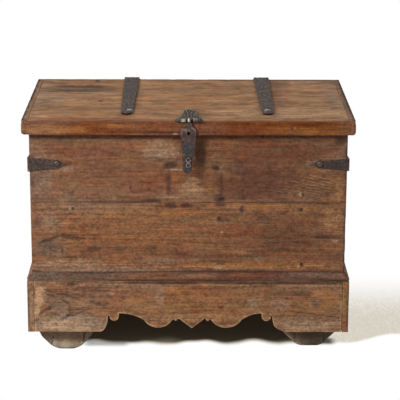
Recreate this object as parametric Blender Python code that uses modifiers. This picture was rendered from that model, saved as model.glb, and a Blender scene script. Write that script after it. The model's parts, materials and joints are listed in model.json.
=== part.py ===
"""Wooden storage chest on plank wheels, with iron strap hinges, corner straps and a hasp.

Metres, +Z up, the front towards -Y. The origin is on the floor, under the middle of the chest's box.
"""

import math

import bmesh
import bpy
from mathutils import Matrix, Vector

# Fits
FIT_GAP = 0.0003
BOARD_GAP = 0.0006
PLANK_EDGE = 0.0015

# Carcase
BODY_WIDTH = 0.958
BODY_DEPTH = 0.600
WALL_HEIGHT = 0.500
WALL_THICKNESS = 0.025
FRONT_LOWER_HEIGHT = 0.268
SIDE_LOWER_HEIGHT = 0.236
BACK_LOWER_HEIGHT = 0.255
BOTTOM_THICKNESS = 0.020
BOTTOM_BOARDS = 4
CLEAT_WIDTH = 0.040
CLEAT_THICKNESS = 0.018
CLEAT_TOP_GAP = 0.045
LEFT_CLEAT_INSET = 0.086
RIGHT_CLEAT_INSET = 0.114

# Plinth
PLINTH_PROUD = 0.015
APRON_THICKNESS = 0.020
BACK_APRON_THICKNESS = 0.025
APRON_DROP = 0.124
APRON_RISE = 0.040
MOULDING_HEIGHT = 0.027
MOULDING_SLOPE = 0.008
MOULDING_NOSE = 0.004
MOULDING_QUIRK = 0.002

# Scallop of the front apron, from its tip outwards
TIP_X = 0.011
TIP_CLEARANCE = 0.0105
TIP_HALF_WIDTH = 0.0387
TIP_RISE = 0.0426
TOOTH_RADIUS = 0.0055
TOOTH_GAP = 0.005
TOOTH_HANG = 0.001
LOBE_RADIUS = 0.051
LOBE_CLEARANCE = 0.0135
LOBE_HALF_ANGLE = math.radians(60)
LEFT_ARCH_RUN = 0.0761
RIGHT_ARCH_RUN = 0.0581
ARCH_RISE = 0.0605
BEAD_RADIUS = 0.015
BEAD_GAP = 0.0025
BEAD_HANG = 0.0045
FOOT_RUN = 0.028
FOOT_RISE = 0.055

# Wheels and axles
WHEEL_RADIUS = 0.088
WHEEL_WEAR = 0.001
WHEEL_THICKNESS = 0.045
WHEEL_SIDE_GAP = 0.007
WHEEL_HEADROOM = 0.0206
WHEEL_PLAY = 0.0015
BORE_CLEARANCE = 0.001
AXLE_BEAM = 0.050
ARM_RADIUS = 0.014
ARM_TAIL = 0.006
LEFT_AXLE_END_GAP = 0.0045
RIGHT_AXLE_END_GAP = 0.0355
BACK_AXLE_END_GAP = 0.0045
BOLSTER_WIDTH = 0.060
LINCHPIN_RADIUS = 0.0035
LINCHPIN_HEAD_RADIUS = 0.006
LINCHPIN_CROWN_RADIUS = 0.0048
LINCHPIN_HEAD = 0.005
LINCHPIN_OVERSHOOT = 0.010
LINCHPIN_GAP = 0.0015

# Lid
LID_BOARD = 0.024
FRONT_LID_PLANK_DEPTH = 0.146
MIDDLE_LID_PLANK_DEPTH = 0.226
LID_BACK_INSET = 0.001
RIM_THICKNESS = 0.018
RIM_HEIGHT = 0.042
RIM_SIDE_GAP = 0.003
RIM_FRONT_GAP = 0.010
RIM_EDGE = 0.004
BATTEN_WIDTH = 0.045
BATTEN_THICKNESS = 0.018
BATTEN_INSET = 0.154
BATTEN_END_GAP = 0.012

# Strap hinges
LEFT_HINGE_X = -0.1885
RIGHT_HINGE_X = 0.241
HINGE_THICKNESS = 0.005
HINGE_BACK_WIDTH = 0.050
HINGE_FRONT_WIDTH = 0.037
HINGE_STRAP_INSET = 0.0883
HINGE_LEAF_LENGTH = 0.150
HINGE_KNUCKLE_RADIUS = 0.008
HINGE_KNUCKLE_LENGTH = 0.020
HINGE_KNUCKLE_GAP = 0.0006
HINGE_PIN_RADIUS = 0.003
HINGE_PIN_OVERSHOOT = 0.002
HINGE_NAIL_INSET = 0.040
LEFT_HINGE_NAIL_SHIFT = 0.008

# Corner straps
CORNER_THICKNESS = 0.003
CORNER_HEIGHT = 0.050
CORNER_NECK_HEIGHT = 0.025
CORNER_NECK = 0.092
CORNER_TIP = 0.026
CORNER_TIP_HEIGHT = 0.010
CORNER_DROP = 0.111
CORNER_NAIL_INSET = 0.032

# Hasp
HASP_THICKNESS = 0.004
HASP_FACE_GAP = 0.0035
HASP_KNUCKLE_RADIUS = 0.006
HASP_KNUCKLE_LENGTH = 0.014
HASP_KNUCKLE_GAP = 0.0006
HASP_PIN_RADIUS = 0.0025
HASP_PIN_OVERSHOOT = 0.0015
HASP_NECK_LENGTH = 0.017
HASP_SHOULDER_WIDTH = 0.049
HASP_SHOULDER_HEIGHT = 0.037
HASP_SHOULDER_ROUND = 0.008
HASP_STRAP_WIDTH = 0.039
HASP_STRAP_LENGTH = 0.052
HASP_END_WIDTH = 0.027
HASP_END_LENGTH = 0.057
HASP_HOLE_RADIUS = 0.004
HASP_HOLE_INSET = 0.0234
LEAF_THICKNESS = 0.003
LEAF_LENGTH = 0.150
LEAF_BARREL_WIDTH = 0.075
LEAF_WAIST_WIDTH = 0.044
LEAF_SHOULDER = 0.012
STAPLE_RADIUS = 0.003
STAPLE_SPACING = 0.0235
STAPLE_INSET = 0.023
STAPLE_DEPTH = 0.018
RIVET_RADIUS = 0.007
RIVET_HEAD = 0.002

# Nails
NAIL_HEAD_RADIUS = 0.0085
NAIL_HEAD = 0.004
NAIL_SHANK_RADIUS = 0.002
NAIL_LENGTH = 0.016

# Facets of round pieces
WHEEL_FACETS = 48
ROUND_FACETS = 24
SMALL_FACETS = 12
ARC_STEPS = 8
SHARP_ANGLE = math.radians(40)

# Finishes, as colour, roughness and metallic value
BODY_WOOD = ((0.150, 0.062, 0.027), 0.70, 0.0)
LID_WOOD = ((0.235, 0.112, 0.050), 0.68, 0.0)
PLINTH_WOOD = ((0.175, 0.082, 0.035), 0.72, 0.0)
INNER_WOOD = ((0.200, 0.110, 0.055), 0.80, 0.0)
WHEEL_WOOD = ((0.130, 0.085, 0.050), 0.85, 0.0)
IRON = ((0.045, 0.036, 0.032), 0.60, 0.85)
BRIGHT_IRON = ((0.180, 0.150, 0.100), 0.45, 0.90)

# Heights, from the floor up
AXLE_Z = WHEEL_RADIUS - WHEEL_WEAR
BOLSTER_Z = AXLE_Z + AXLE_BEAM / 2 + FIT_GAP
FLOOR_Z = AXLE_Z + WHEEL_RADIUS + WHEEL_HEADROOM
WALL_Z = FLOOR_Z + BOTTOM_THICKNESS + FIT_GAP
WALL_TOP = WALL_Z + WALL_HEIGHT
LID_UNDER = WALL_TOP + FIT_GAP
LID_TOP = LID_UNDER + LID_BOARD
APRON_BOTTOM = FLOOR_Z - APRON_DROP
APRON_TOP = FLOOR_Z + APRON_RISE
MOULDING_Z = APRON_TOP + FIT_GAP

# Depths, from the front back
LID_OVERHANG = RIM_THICKNESS + RIM_FRONT_GAP
HASP_REACH = HASP_FACE_GAP + HASP_THICKNESS / 2
HINGE_REACH = FIT_GAP + HINGE_KNUCKLE_RADIUS
TOTAL_DEPTH = (HASP_KNUCKLE_RADIUS + HASP_REACH + LID_OVERHANG + BODY_DEPTH
               + HINGE_REACH + HINGE_KNUCKLE_RADIUS)
LID_FRONT = -TOTAL_DEPTH / 2 + HASP_KNUCKLE_RADIUS + HASP_REACH
BODY_FRONT = LID_FRONT + LID_OVERHANG
BODY_BACK = BODY_FRONT + BODY_DEPTH
LID_BACK = BODY_BACK - LID_BACK_INSET
INNER_FRONT = BODY_FRONT + WALL_THICKNESS
INNER_BACK = BODY_BACK - WALL_THICKNESS
PLINTH_FRONT = BODY_FRONT - PLINTH_PROUD

# Widths, from the middle out
BODY_HALF = BODY_WIDTH / 2
INNER_HALF = BODY_HALF - WALL_THICKNESS
PLINTH_HALF = BODY_HALF + PLINTH_PROUD
APRON_INNER_HALF = PLINTH_HALF - APRON_THICKNESS
LID_HALF = BODY_HALF + RIM_SIDE_GAP + RIM_THICKNESS
BOARD_HALF = LID_HALF - RIM_THICKNESS - FIT_GAP
WHEEL_X = APRON_INNER_HALF - WHEEL_SIDE_GAP - WHEEL_RADIUS

# Joint axes
IRON_UNDER = LID_TOP + FIT_GAP
HINGE_AXIS = Vector((0.0, BODY_BACK + HINGE_REACH, IRON_UNDER + HINGE_THICKNESS - HINGE_KNUCKLE_RADIUS))
HASP_AXIS = Vector((0.0, LID_FRONT - HASP_REACH, IRON_UNDER + HASP_KNUCKLE_RADIUS))

# Turns that lay a flat outline against an upright face
FACING_FRONT = Matrix.Rotation(math.pi / 2, 4, "X")
FACING_SIDE = Matrix.Rotation(math.pi / 2, 4, "Z") @ FACING_FRONT

SIDES = {"left": -1, "right": 1}
ENDS = {"front": -1, "back": 1}


def new_collection(name):
    collection = bpy.data.collections.new(name)
    bpy.context.scene.collection.children.link(collection)
    return collection


def clear_scene():
    for obj in list(bpy.data.objects):
        bpy.data.objects.remove(obj)


clear_scene()
CHEST = new_collection("storage_chest")
CUTTERS = new_collection("cutters")


def new_finish(name, finish):
    """A plain surface for one piece."""
    colour, roughness, metallic = finish
    material = bpy.data.materials.new(name)
    material.use_nodes = True
    shader = material.node_tree.nodes["Principled BSDF"]
    shader.inputs["Base Color"].default_value = (*colour, 1.0)
    shader.inputs["Roughness"].default_value = roughness
    shader.inputs["Metallic"].default_value = metallic
    return material


def piece(name, mesh, place, finish, pivot=None):
    """Add a sub-part at a place, carried by a pivot where it moves."""
    mesh.materials.append(new_finish(name + "_finish", finish))
    obj = bpy.data.objects.new(name, mesh)
    obj.location = place
    CHEST.objects.link(obj)
    if pivot:
        obj.parent = pivot
        obj.matrix_parent_inverse = pivot.matrix_world.inverted()
    return obj


def tool(name, mesh, place=(0.0, 0.0, 0.0)):
    """Add a shape that only cuts or joins other shapes."""
    obj = bpy.data.objects.new(name, mesh)
    obj.location = place
    obj.hide_render = True
    obj.display_type = "WIRE"
    CUTTERS.objects.link(obj)
    return obj


def combine(obj, other, operation):
    modifier = obj.modifiers.new(operation.lower() + "_" + other.name, "BOOLEAN")
    modifier.object = other
    modifier.operation = operation
    modifier.solver = "EXACT"


def cut(obj, other):
    combine(obj, other, "DIFFERENCE")


def join(obj, other):
    combine(obj, other, "UNION")


def new_pivot(name, place, parent=None):
    """An empty on a joint's axis."""
    pivot = bpy.data.objects.new(name, None)
    pivot.location = place
    CHEST.objects.link(pivot)
    if parent:
        pivot.parent = parent
        pivot.matrix_parent_inverse = parent.matrix_world.inverted()
    bpy.context.view_layer.update()
    return pivot


def mesh_from(name, bm):
    mesh = bpy.data.meshes.new(name)
    bm.to_mesh(mesh)
    bm.free()
    return mesh


def box_mesh(name, size):
    bm = bmesh.new()
    bmesh.ops.create_cube(bm, size=1.0, matrix=Matrix.Diagonal((*size, 1.0)))
    return mesh_from(name, bm)


def bar_mesh(name, radius, length, axis, facets=ROUND_FACETS):
    """A round bar along an axis, with flats towards the box directions."""
    bm = bmesh.new()
    half_step = Matrix.Rotation(math.pi / facets, 4, "Z")
    turn = Vector((0, 0, 1)).rotation_difference(Vector(axis)).to_matrix().to_4x4()
    bmesh.ops.create_cone(bm, cap_ends=True, segments=facets, radius1=radius, radius2=radius,
                          depth=length, matrix=turn @ half_step)
    mesh = mesh_from(name, bm)
    mesh.shade_smooth()
    mesh.set_sharp_from_angle(angle=SHARP_ANGLE)
    return mesh


def bar_tool(name, radius, length, axis, place, facets=ROUND_FACETS):
    """A round bar that only cuts or joins other shapes."""
    return tool(name, bar_mesh(name, radius, length, axis, facets), place)


def mesh_of(obj):
    """The evaluated shape of a curve, welded into one closed mesh."""
    bpy.context.view_layer.update()
    evaluated = obj.evaluated_get(bpy.context.evaluated_depsgraph_get())
    mesh = bpy.data.meshes.new_from_object(evaluated)
    bm = bmesh.new()
    bm.from_mesh(mesh)
    bmesh.ops.remove_doubles(bm, verts=bm.verts, dist=1e-6)
    bmesh.ops.recalc_face_normals(bm, faces=bm.faces)
    bm.to_mesh(mesh)
    bm.free()
    bpy.data.objects.remove(obj)
    return mesh


def plate_mesh(name, outline, thickness, facing=None):
    """A flat outline with a thickness, lying flat or turned to a facing."""
    curve = bpy.data.curves.new(name, "CURVE")
    curve.dimensions = "2D"
    curve.fill_mode = "BOTH"
    curve.extrude = thickness / 2
    spline = curve.splines.new("POLY")
    spline.points.add(len(outline) - 1)
    for point, (x, y) in zip(spline.points, outline):
        point.co = (x, y, 0.0, 1.0)
    spline.use_cyclic_u = True
    obj = bpy.data.objects.new(name, curve)
    CUTTERS.objects.link(obj)
    mesh = mesh_of(obj)
    if facing:
        mesh.transform(facing)
    return mesh


def wire_mesh(name, points, radius):
    """A round wire along a run of points."""
    curve = bpy.data.curves.new(name, "CURVE")
    curve.dimensions = "3D"
    curve.bevel_depth = radius
    curve.bevel_resolution = 2
    curve.use_fill_caps = True
    spline = curve.splines.new("POLY")
    spline.points.add(len(points) - 1)
    for point, co in zip(spline.points, points):
        point.co = (*co, 1.0)
    obj = bpy.data.objects.new(name, curve)
    CUTTERS.objects.link(obj)
    return mesh_of(obj)


def turned_piece(name, profile, place, axis, finish, pivot=None):
    """A turned piece from a profile of radius and height, given from its top down."""
    bm = bmesh.new()
    points = [bm.verts.new((radius, 0.0, height)) for radius, height in profile]
    for first, second in zip(points, points[1:]):
        bm.edges.new((first, second))
    obj = piece(name, mesh_from(name, bm), place, finish, pivot)
    obj.rotation_euler = Vector((0, 0, 1)).rotation_difference(Vector(axis)).to_euler()
    screw = obj.modifiers.new("turn", "SCREW")
    screw.steps = SMALL_FACETS
    screw.render_steps = SMALL_FACETS
    screw.use_merge_vertices = True
    screw.merge_threshold = 0.00001
    return obj


def block(name, low, high, finish, edge=PLANK_EDGE, pivot=None):
    """A plank between two corners, with its edges broken."""
    low = Vector(low)
    high = Vector(high)
    obj = piece(name, box_mesh(name, high - low), (low + high) / 2, finish, pivot)
    bevel = obj.modifiers.new("broken_edges", "BEVEL")
    bevel.width = edge
    bevel.segments = 1
    return obj


def arc(centre, radius, start, end, steps=ARC_STEPS):
    """Points along a circular arc, both ends included."""
    angles = [start + (end - start) * step / steps for step in range(steps + 1)]
    return [(centre[0] + radius * math.cos(a), centre[1] + radius * math.sin(a)) for a in angles]


def build_walls():
    """Two planks high on every side; the side planks stand between front and back."""
    front = stacked_planks("front", (-BODY_HALF, BODY_FRONT), (BODY_HALF, INNER_FRONT), FRONT_LOWER_HEIGHT)
    stacked_planks("back", (-BODY_HALF, INNER_BACK), (BODY_HALF, BODY_BACK), BACK_LOWER_HEIGHT)
    side_front = INNER_FRONT + FIT_GAP
    side_back = INNER_BACK - FIT_GAP
    stacked_planks("left", (-BODY_HALF, side_front), (-INNER_HALF, side_back), SIDE_LOWER_HEIGHT)
    stacked_planks("right", (INNER_HALF, side_front), (BODY_HALF, side_back), SIDE_LOWER_HEIGHT)
    return front


def stacked_planks(side, low, high, lower_height):
    split = WALL_Z + lower_height
    lower = block(side + "_lower_plank", (*low, WALL_Z), (*high, split - FIT_GAP), BODY_WOOD)
    upper = block(side + "_upper_plank", (*low, split), (*high, WALL_TOP), BODY_WOOD)
    return lower, upper


def build_bottom():
    """Boards along the chest, under the walls."""
    pitch = BODY_DEPTH / BOTTOM_BOARDS
    for index in range(BOTTOM_BOARDS):
        front = BODY_FRONT + index * pitch
        back = front + pitch - (BOARD_GAP if index < BOTTOM_BOARDS - 1 else 0.0)
        block("bottom_board_" + str(index + 1), (-BODY_HALF, front, FLOOR_Z),
              (BODY_HALF, back, FLOOR_Z + BOTTOM_THICKNESS), INNER_WOOD)


def build_cleats():
    """Upright cleats that hold the two front planks together from inside."""
    front = INNER_FRONT + FIT_GAP
    left = LEFT_CLEAT_INSET - INNER_HALF
    right = INNER_HALF - RIGHT_CLEAT_INSET
    for name, x in (("front_cleat_left", left), ("front_cleat_right", right)):
        block(name, (x - CLEAT_WIDTH / 2, front, WALL_Z),
              (x + CLEAT_WIDTH / 2, front + CLEAT_THICKNESS, WALL_TOP - CLEAT_TOP_GAP), INNER_WOOD)


def scallop_half(side, arch_run):
    """The scallop from the foot in to the base of its tip, as x and height over the apron's foot."""
    tooth_x = TIP_HALF_WIDTH + TOOTH_GAP + TOOTH_RADIUS
    lobe_half = LOBE_RADIUS * math.sin(LOBE_HALF_ANGLE)
    lobe_rise = LOBE_CLEARANCE + LOBE_RADIUS * (1 - math.cos(LOBE_HALF_ANGLE))
    lobe_x = tooth_x + TOOTH_RADIUS + TOOTH_GAP + lobe_half
    arch_x = lobe_x + lobe_half + arch_run
    arch_drop = ARCH_RISE - lobe_rise
    arch_radius = (arch_run ** 2 + arch_drop ** 2) / (2 * arch_drop)
    arch_angle = math.asin(arch_run / arch_radius)
    bead_x = arch_x + BEAD_RADIUS
    foot_x = bead_x + BEAD_RADIUS + BEAD_GAP + FOOT_RUN
    quarter = math.pi / 2
    points = [(foot_x - FOOT_RUN * math.sin(quarter * step / ARC_STEPS),
               FOOT_RISE * (1 - math.cos(quarter * step / ARC_STEPS))) for step in range(ARC_STEPS + 1)]
    points += arc((bead_x, FOOT_RISE - BEAD_HANG), BEAD_RADIUS, 0.0, -math.pi)
    points += arc((arch_x, ARCH_RISE - arch_radius), arch_radius, quarter, quarter + arch_angle)
    points += arc((lobe_x, LOBE_CLEARANCE + LOBE_RADIUS), LOBE_RADIUS,
                  LOBE_HALF_ANGLE - quarter, -LOBE_HALF_ANGLE - quarter, 2 * ARC_STEPS)[1:]
    points += arc((tooth_x, TIP_RISE - TOOTH_HANG), TOOTH_RADIUS, 0.0, -math.pi)
    points.append((TIP_HALF_WIDTH, TIP_RISE))
    return [(TIP_X + side * x, height) for x, height in points]


def build_plinth():
    """Apron boards, rabbeted to carry the bottom boards; the front one is scalloped."""
    carcase_size = Vector((BODY_WIDTH + 2 * FIT_GAP, BODY_DEPTH + 2 * FIT_GAP, WALL_HEIGHT))
    carcase_centre = (0.0, (BODY_FRONT + BODY_BACK) / 2, FLOOR_Z - FIT_GAP + WALL_HEIGHT / 2)
    carcase = tool("carcase_space", box_mesh("carcase_space", carcase_size), carcase_centre)

    end = APRON_INNER_HALF - FIT_GAP
    tip = [(TIP_X, TIP_CLEARANCE)]
    scallop = scallop_half(-1, LEFT_ARCH_RUN) + tip + scallop_half(1, RIGHT_ARCH_RUN)[::-1]
    height = APRON_TOP - APRON_BOTTOM
    outline = [(-end, height), (-end, 0.0)] + scallop + [(end, 0.0), (end, height)]
    mesh = plate_mesh("front_apron", outline, APRON_THICKNESS, FACING_FRONT)
    place = (0.0, PLINTH_FRONT + APRON_THICKNESS / 2, APRON_BOTTOM)
    front = piece("front_apron", mesh, place, PLINTH_WOOD)
    cut(front, carcase)

    for side, sign in SIDES.items():
        inner = sign * APRON_INNER_HALF
        outer = sign * PLINTH_HALF
        apron = block(side + "_apron", (min(inner, outer), PLINTH_FRONT, APRON_BOTTOM),
                      (max(inner, outer), BODY_BACK, APRON_TOP), PLINTH_WOOD)
        cut(apron, carcase)

    block("back_apron", (-end, BODY_BACK - BACK_APRON_THICKNESS, APRON_BOTTOM),
          (end, BODY_BACK, FLOOR_Z - FIT_GAP), PLINTH_WOOD)


def moulding_profile():
    """Section of the moulding: outwards from the wall and up from the apron."""
    out = PLINTH_PROUD
    nose = (out - MOULDING_NOSE, MOULDING_HEIGHT - MOULDING_SLOPE - MOULDING_NOSE)
    return ([(FIT_GAP, 0.0), (out - MOULDING_QUIRK, 0.0), (out, MOULDING_QUIRK)]
            + arc(nose, MOULDING_NOSE, 0.0, math.pi / 2, ARC_STEPS // 2) + [(FIT_GAP, MOULDING_HEIGHT)])


def mitre(mesh, corner, keep):
    """Cut a strip at a corner, keeping the side that a level direction points to."""
    bm = bmesh.new()
    bm.from_mesh(mesh)
    normal = Vector((*keep, 0.0)).normalized()
    result = bmesh.ops.bisect_plane(bm, geom=bm.verts[:] + bm.edges[:] + bm.faces[:], dist=1e-7,
                                    plane_co=Vector((*corner, 0.0)) + normal * FIT_GAP, plane_no=normal,
                                    clear_inner=True)
    rim = [item for item in result["geom_cut"] if isinstance(item, bmesh.types.BMEdge)]
    bmesh.ops.edgenet_fill(bm, edges=rim)
    bmesh.ops.recalc_face_normals(bm, faces=bm.faces)
    bm.to_mesh(mesh)
    bm.free()


def build_mouldings():
    """Strips above the aprons, mitred at the front corners."""
    profile = moulding_profile()
    front_corners = {side: (sign * BODY_HALF, BODY_FRONT) for side, sign in SIDES.items()}

    facing_out = Matrix(((0, 0, -1, 0), (-1, 0, 0, BODY_FRONT), (0, 1, 0, MOULDING_Z), (0, 0, 0, 1)))
    mesh = plate_mesh("front_moulding", profile, 2 * PLINTH_HALF, facing_out)
    for side, sign in SIDES.items():
        mitre(mesh, front_corners[side], (-sign, -1))
    piece("front_moulding", mesh, (0.0, 0.0, 0.0), PLINTH_WOOD)

    length = BODY_BACK - PLINTH_FRONT
    middle = (BODY_BACK + PLINTH_FRONT) / 2
    for side, sign in SIDES.items():
        facing_out = Matrix(((sign, 0, 0, sign * BODY_HALF), (0, 0, -sign, middle), (0, 1, 0, MOULDING_Z),
                             (0, 0, 0, 1)))
        mesh = plate_mesh(side + "_moulding", profile, length, facing_out)
        mitre(mesh, front_corners[side], (sign, 1))
        piece(side + "_moulding", mesh, (0.0, 0.0, 0.0), PLINTH_WOOD)


def build_running_gear():
    """Two axles across the depth under bolsters, with a wheel and a linchpin at each end."""
    arm_projection = LINCHPIN_GAP + LINCHPIN_HEAD_RADIUS + LINCHPIN_RADIUS + ARM_TAIL
    front_wall = PLINTH_FRONT + APRON_THICKNESS
    back_wall = BODY_BACK - BACK_APRON_THICKNESS
    end_gaps = {"left": LEFT_AXLE_END_GAP, "right": RIGHT_AXLE_END_GAP}
    for side, sign in SIDES.items():
        x = sign * WHEEL_X
        faces = {"front": front_wall + end_gaps[side] + arm_projection,
                 "back": back_wall - BACK_AXLE_END_GAP - arm_projection}
        beam_front = faces["front"] + WHEEL_THICKNESS + WHEEL_PLAY
        beam_back = faces["back"] - WHEEL_THICKNESS - WHEEL_PLAY
        half = AXLE_BEAM / 2
        axle = block(side + "_axle", (x - half, beam_front, AXLE_Z - half),
                     (x + half, beam_back, AXLE_Z + half), WHEEL_WOOD)
        half = BOLSTER_WIDTH / 2
        block(side + "_bolster", (x - half, beam_front, BOLSTER_Z),
              (x + half, beam_back, FLOOR_Z - FIT_GAP), WHEEL_WOOD)
        for end, outward in ENDS.items():
            build_axle_end(end + "_" + side, axle, x, faces[end], outward, arm_projection)


def build_axle_end(name, axle, x, wheel_face, outward, arm_projection):
    """One arm of an axle, with its wheel and linchpin."""
    arm_end = wheel_face + outward * arm_projection
    arm_start = wheel_face - outward * (WHEEL_THICKNESS + WHEEL_PLAY + AXLE_BEAM / 2)
    along = (0, 1, 0)
    join(axle, bar_tool(name + "_arm", ARM_RADIUS, abs(arm_end - arm_start), along,
                        (x, (arm_start + arm_end) / 2, AXLE_Z)))

    hub = (x, wheel_face - outward * WHEEL_THICKNESS / 2, AXLE_Z)
    mesh = bar_mesh(name + "_wheel", WHEEL_RADIUS, WHEEL_THICKNESS, along, WHEEL_FACETS)
    wheel = piece(name + "_wheel", mesh, hub, WHEEL_WOOD)
    cut(wheel, bar_tool(name + "_bore", ARM_RADIUS + BORE_CLEARANCE, 2 * WHEEL_THICKNESS, along, hub))
    ground = box_mesh(name + "_ground", (2 * WHEEL_RADIUS, 2 * WHEEL_THICKNESS, WHEEL_RADIUS))
    cut(wheel, tool(name + "_ground", ground, (x, hub[1], -WHEEL_RADIUS / 2)))

    pin = (x, wheel_face + outward * (LINCHPIN_GAP + LINCHPIN_HEAD_RADIUS), AXLE_Z)
    cut(axle, bar_tool(name + "_pin_hole", LINCHPIN_RADIUS + FIT_GAP, 4 * ARM_RADIUS, (0, 0, 1), pin,
                       SMALL_FACETS))
    reach = ARM_RADIUS + LINCHPIN_OVERSHOOT
    crown = reach + LINCHPIN_HEAD
    profile = [(0.0, crown), (LINCHPIN_CROWN_RADIUS, crown),
               (LINCHPIN_HEAD_RADIUS, reach + LINCHPIN_HEAD / 2), (LINCHPIN_HEAD_RADIUS, reach),
               (LINCHPIN_RADIUS, reach), (LINCHPIN_RADIUS, -reach), (0.0, -reach)]
    turned_piece(name + "_linchpin", profile, pin, (0, 0, 1), IRON)


def build_lid(pivot):
    """Lid boards inside a deeper rim at the front and sides, with battens underneath."""
    board_front = LID_FRONT + RIM_THICKNESS + FIT_GAP
    front_joint = board_front + FRONT_LID_PLANK_DEPTH
    back_joint = front_joint + BOARD_GAP + MIDDLE_LID_PLANK_DEPTH
    spans = {"front_lid_plank": (board_front, front_joint),
             "middle_lid_plank": (front_joint + BOARD_GAP, back_joint),
             "back_lid_plank": (back_joint + BOARD_GAP, LID_BACK)}
    boards = [block(name, (-BOARD_HALF, front, LID_UNDER), (BOARD_HALF, back, LID_TOP), LID_WOOD,
                    pivot=pivot) for name, (front, back) in spans.items()]

    rim_z = LID_TOP - RIM_HEIGHT
    block("front_lid_rim", (-LID_HALF, LID_FRONT, rim_z), (LID_HALF, LID_FRONT + RIM_THICKNESS, LID_TOP),
          LID_WOOD, RIM_EDGE, pivot)
    batten_top = LID_UNDER - FIT_GAP
    batten_front = INNER_FRONT + CLEAT_THICKNESS + BATTEN_END_GAP
    half = BATTEN_WIDTH / 2
    for side, sign in SIDES.items():
        outer = sign * LID_HALF
        inner = outer - sign * RIM_THICKNESS
        block(side + "_lid_rim", (min(inner, outer), board_front, rim_z),
              (max(inner, outer), LID_BACK, LID_TOP), LID_WOOD, RIM_EDGE, pivot)
        x = sign * (INNER_HALF - BATTEN_INSET)
        block(side + "_lid_batten", (x - half, batten_front, batten_top - BATTEN_THICKNESS),
              (x + half, INNER_BACK - BATTEN_END_GAP, batten_top), INNER_WOOD, pivot=pivot)
    return boards


def tapered_plate(knuckle_half, notch, wide, narrow, length, centre_tongue):
    """Hinge plate outline hanging from its pin's line at y = 0 down to a round end.

    With a centre tongue only the middle reaches the pin's line, otherwise only the two outer parts do.
    """
    half = wide / 2
    end = narrow / 2
    tail = arc((0.0, end - length), end, 0.0, -math.pi)
    if centre_tongue:
        top = [(-half, -notch), (-knuckle_half, -notch), (-knuckle_half, 0.0), (knuckle_half, 0.0),
               (knuckle_half, -notch), (half, -notch)]
    else:
        top = [(-half, 0.0), (-knuckle_half, 0.0), (-knuckle_half, -notch), (knuckle_half, -notch),
               (knuckle_half, 0.0), (half, 0.0)]
    return top + tail


def build_nail(name, place, outward, plates, planks, finish, pivot=None):
    """A domed nail through iron into wood, with its hole cut in both."""
    quarter = arc((0.0, 0.0), 1.0, math.pi / 2, 0.0, ARC_STEPS // 2)
    dome = [(NAIL_HEAD_RADIUS * out, NAIL_HEAD * up) for out, up in quarter]
    profile = dome + [(NAIL_SHANK_RADIUS, 0.0), (NAIL_SHANK_RADIUS, -NAIL_LENGTH), (0.0, -NAIL_LENGTH)]
    turned_piece(name, profile, place, outward, finish, pivot)
    depth = NAIL_LENGTH + FIT_GAP
    hole = bar_tool(name + "_hole", NAIL_SHANK_RADIUS + FIT_GAP, 2 * depth, outward, place, SMALL_FACETS)
    for obj in plates + planks:
        cut(obj, hole)


def build_hinges(pivot, lid_boards):
    """Long straps on the lid and short leaves on the back wall, on shared pins."""
    along = (1, 0, 0)
    side_gap = HINGE_KNUCKLE_GAP
    centre_half = HINGE_KNUCKLE_LENGTH / 2
    outer_half = HINGE_BACK_WIDTH / 2
    notch = HINGE_KNUCKLE_RADIUS + side_gap
    strap_length = HINGE_AXIS.y - LID_FRONT - HINGE_STRAP_INSET
    strap_drop = Matrix.Translation((0.0, 0.0, IRON_UNDER + HINGE_THICKNESS / 2 - HINGE_AXIS.z))
    leaf_drop = Matrix.Translation((0.0, BODY_BACK + FIT_GAP + HINGE_THICKNESS / 2 - HINGE_AXIS.y, 0.0))
    leaf_inner = centre_half + 2 * side_gap
    leaf_outer = outer_half - side_gap
    nail_shift = {"left": LEFT_HINGE_NAIL_SHIFT, "right": 0.0}
    for side, x in (("left", LEFT_HINGE_X), ("right", RIGHT_HINGE_X)):
        axis = Vector((x, HINGE_AXIS.y, HINGE_AXIS.z))
        hole = bar_tool(side + "_hinge_hole", HINGE_PIN_RADIUS + FIT_GAP, 2 * HINGE_BACK_WIDTH, along, axis)

        outline = tapered_plate(centre_half - side_gap, notch, HINGE_BACK_WIDTH, HINGE_FRONT_WIDTH,
                                strap_length, True)
        mesh = plate_mesh(side + "_hinge_strap", outline, HINGE_THICKNESS, strap_drop)
        strap = piece(side + "_hinge_strap", mesh, axis, IRON, pivot)
        join(strap, bar_tool(side + "_strap_knuckle", HINGE_KNUCKLE_RADIUS, HINGE_KNUCKLE_LENGTH,
                             along, axis))
        cut(strap, hole)

        outline = tapered_plate(centre_half + side_gap, notch, HINGE_BACK_WIDTH, HINGE_FRONT_WIDTH,
                                HINGE_LEAF_LENGTH, False)
        mesh = plate_mesh(side + "_hinge_leaf", outline, HINGE_THICKNESS, leaf_drop @ FACING_FRONT)
        leaf = piece(side + "_hinge_leaf", mesh, axis, IRON)
        for end in (-1, 1):
            centre = axis + Vector((end * (leaf_inner + leaf_outer) / 2, 0.0, 0.0))
            join(leaf, bar_tool(side + "_leaf_knuckle" + str(end), HINGE_KNUCKLE_RADIUS,
                                leaf_outer - leaf_inner, along, centre))
        cut(leaf, hole)

        reach = outer_half + HINGE_PIN_OVERSHOOT
        profile = [(0.0, reach), (HINGE_PIN_RADIUS, reach), (HINGE_PIN_RADIUS, -reach), (0.0, -reach)]
        turned_piece(side + "_hinge_pin", profile, axis, along, IRON)

        nail = Vector((x + nail_shift[side], axis.y - strap_length + HINGE_NAIL_INSET,
                       IRON_UNDER + HINGE_THICKNESS + FIT_GAP))
        build_nail(side + "_strap_nail", nail, (0, 0, 1), [strap], lid_boards, IRON, pivot)


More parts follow.
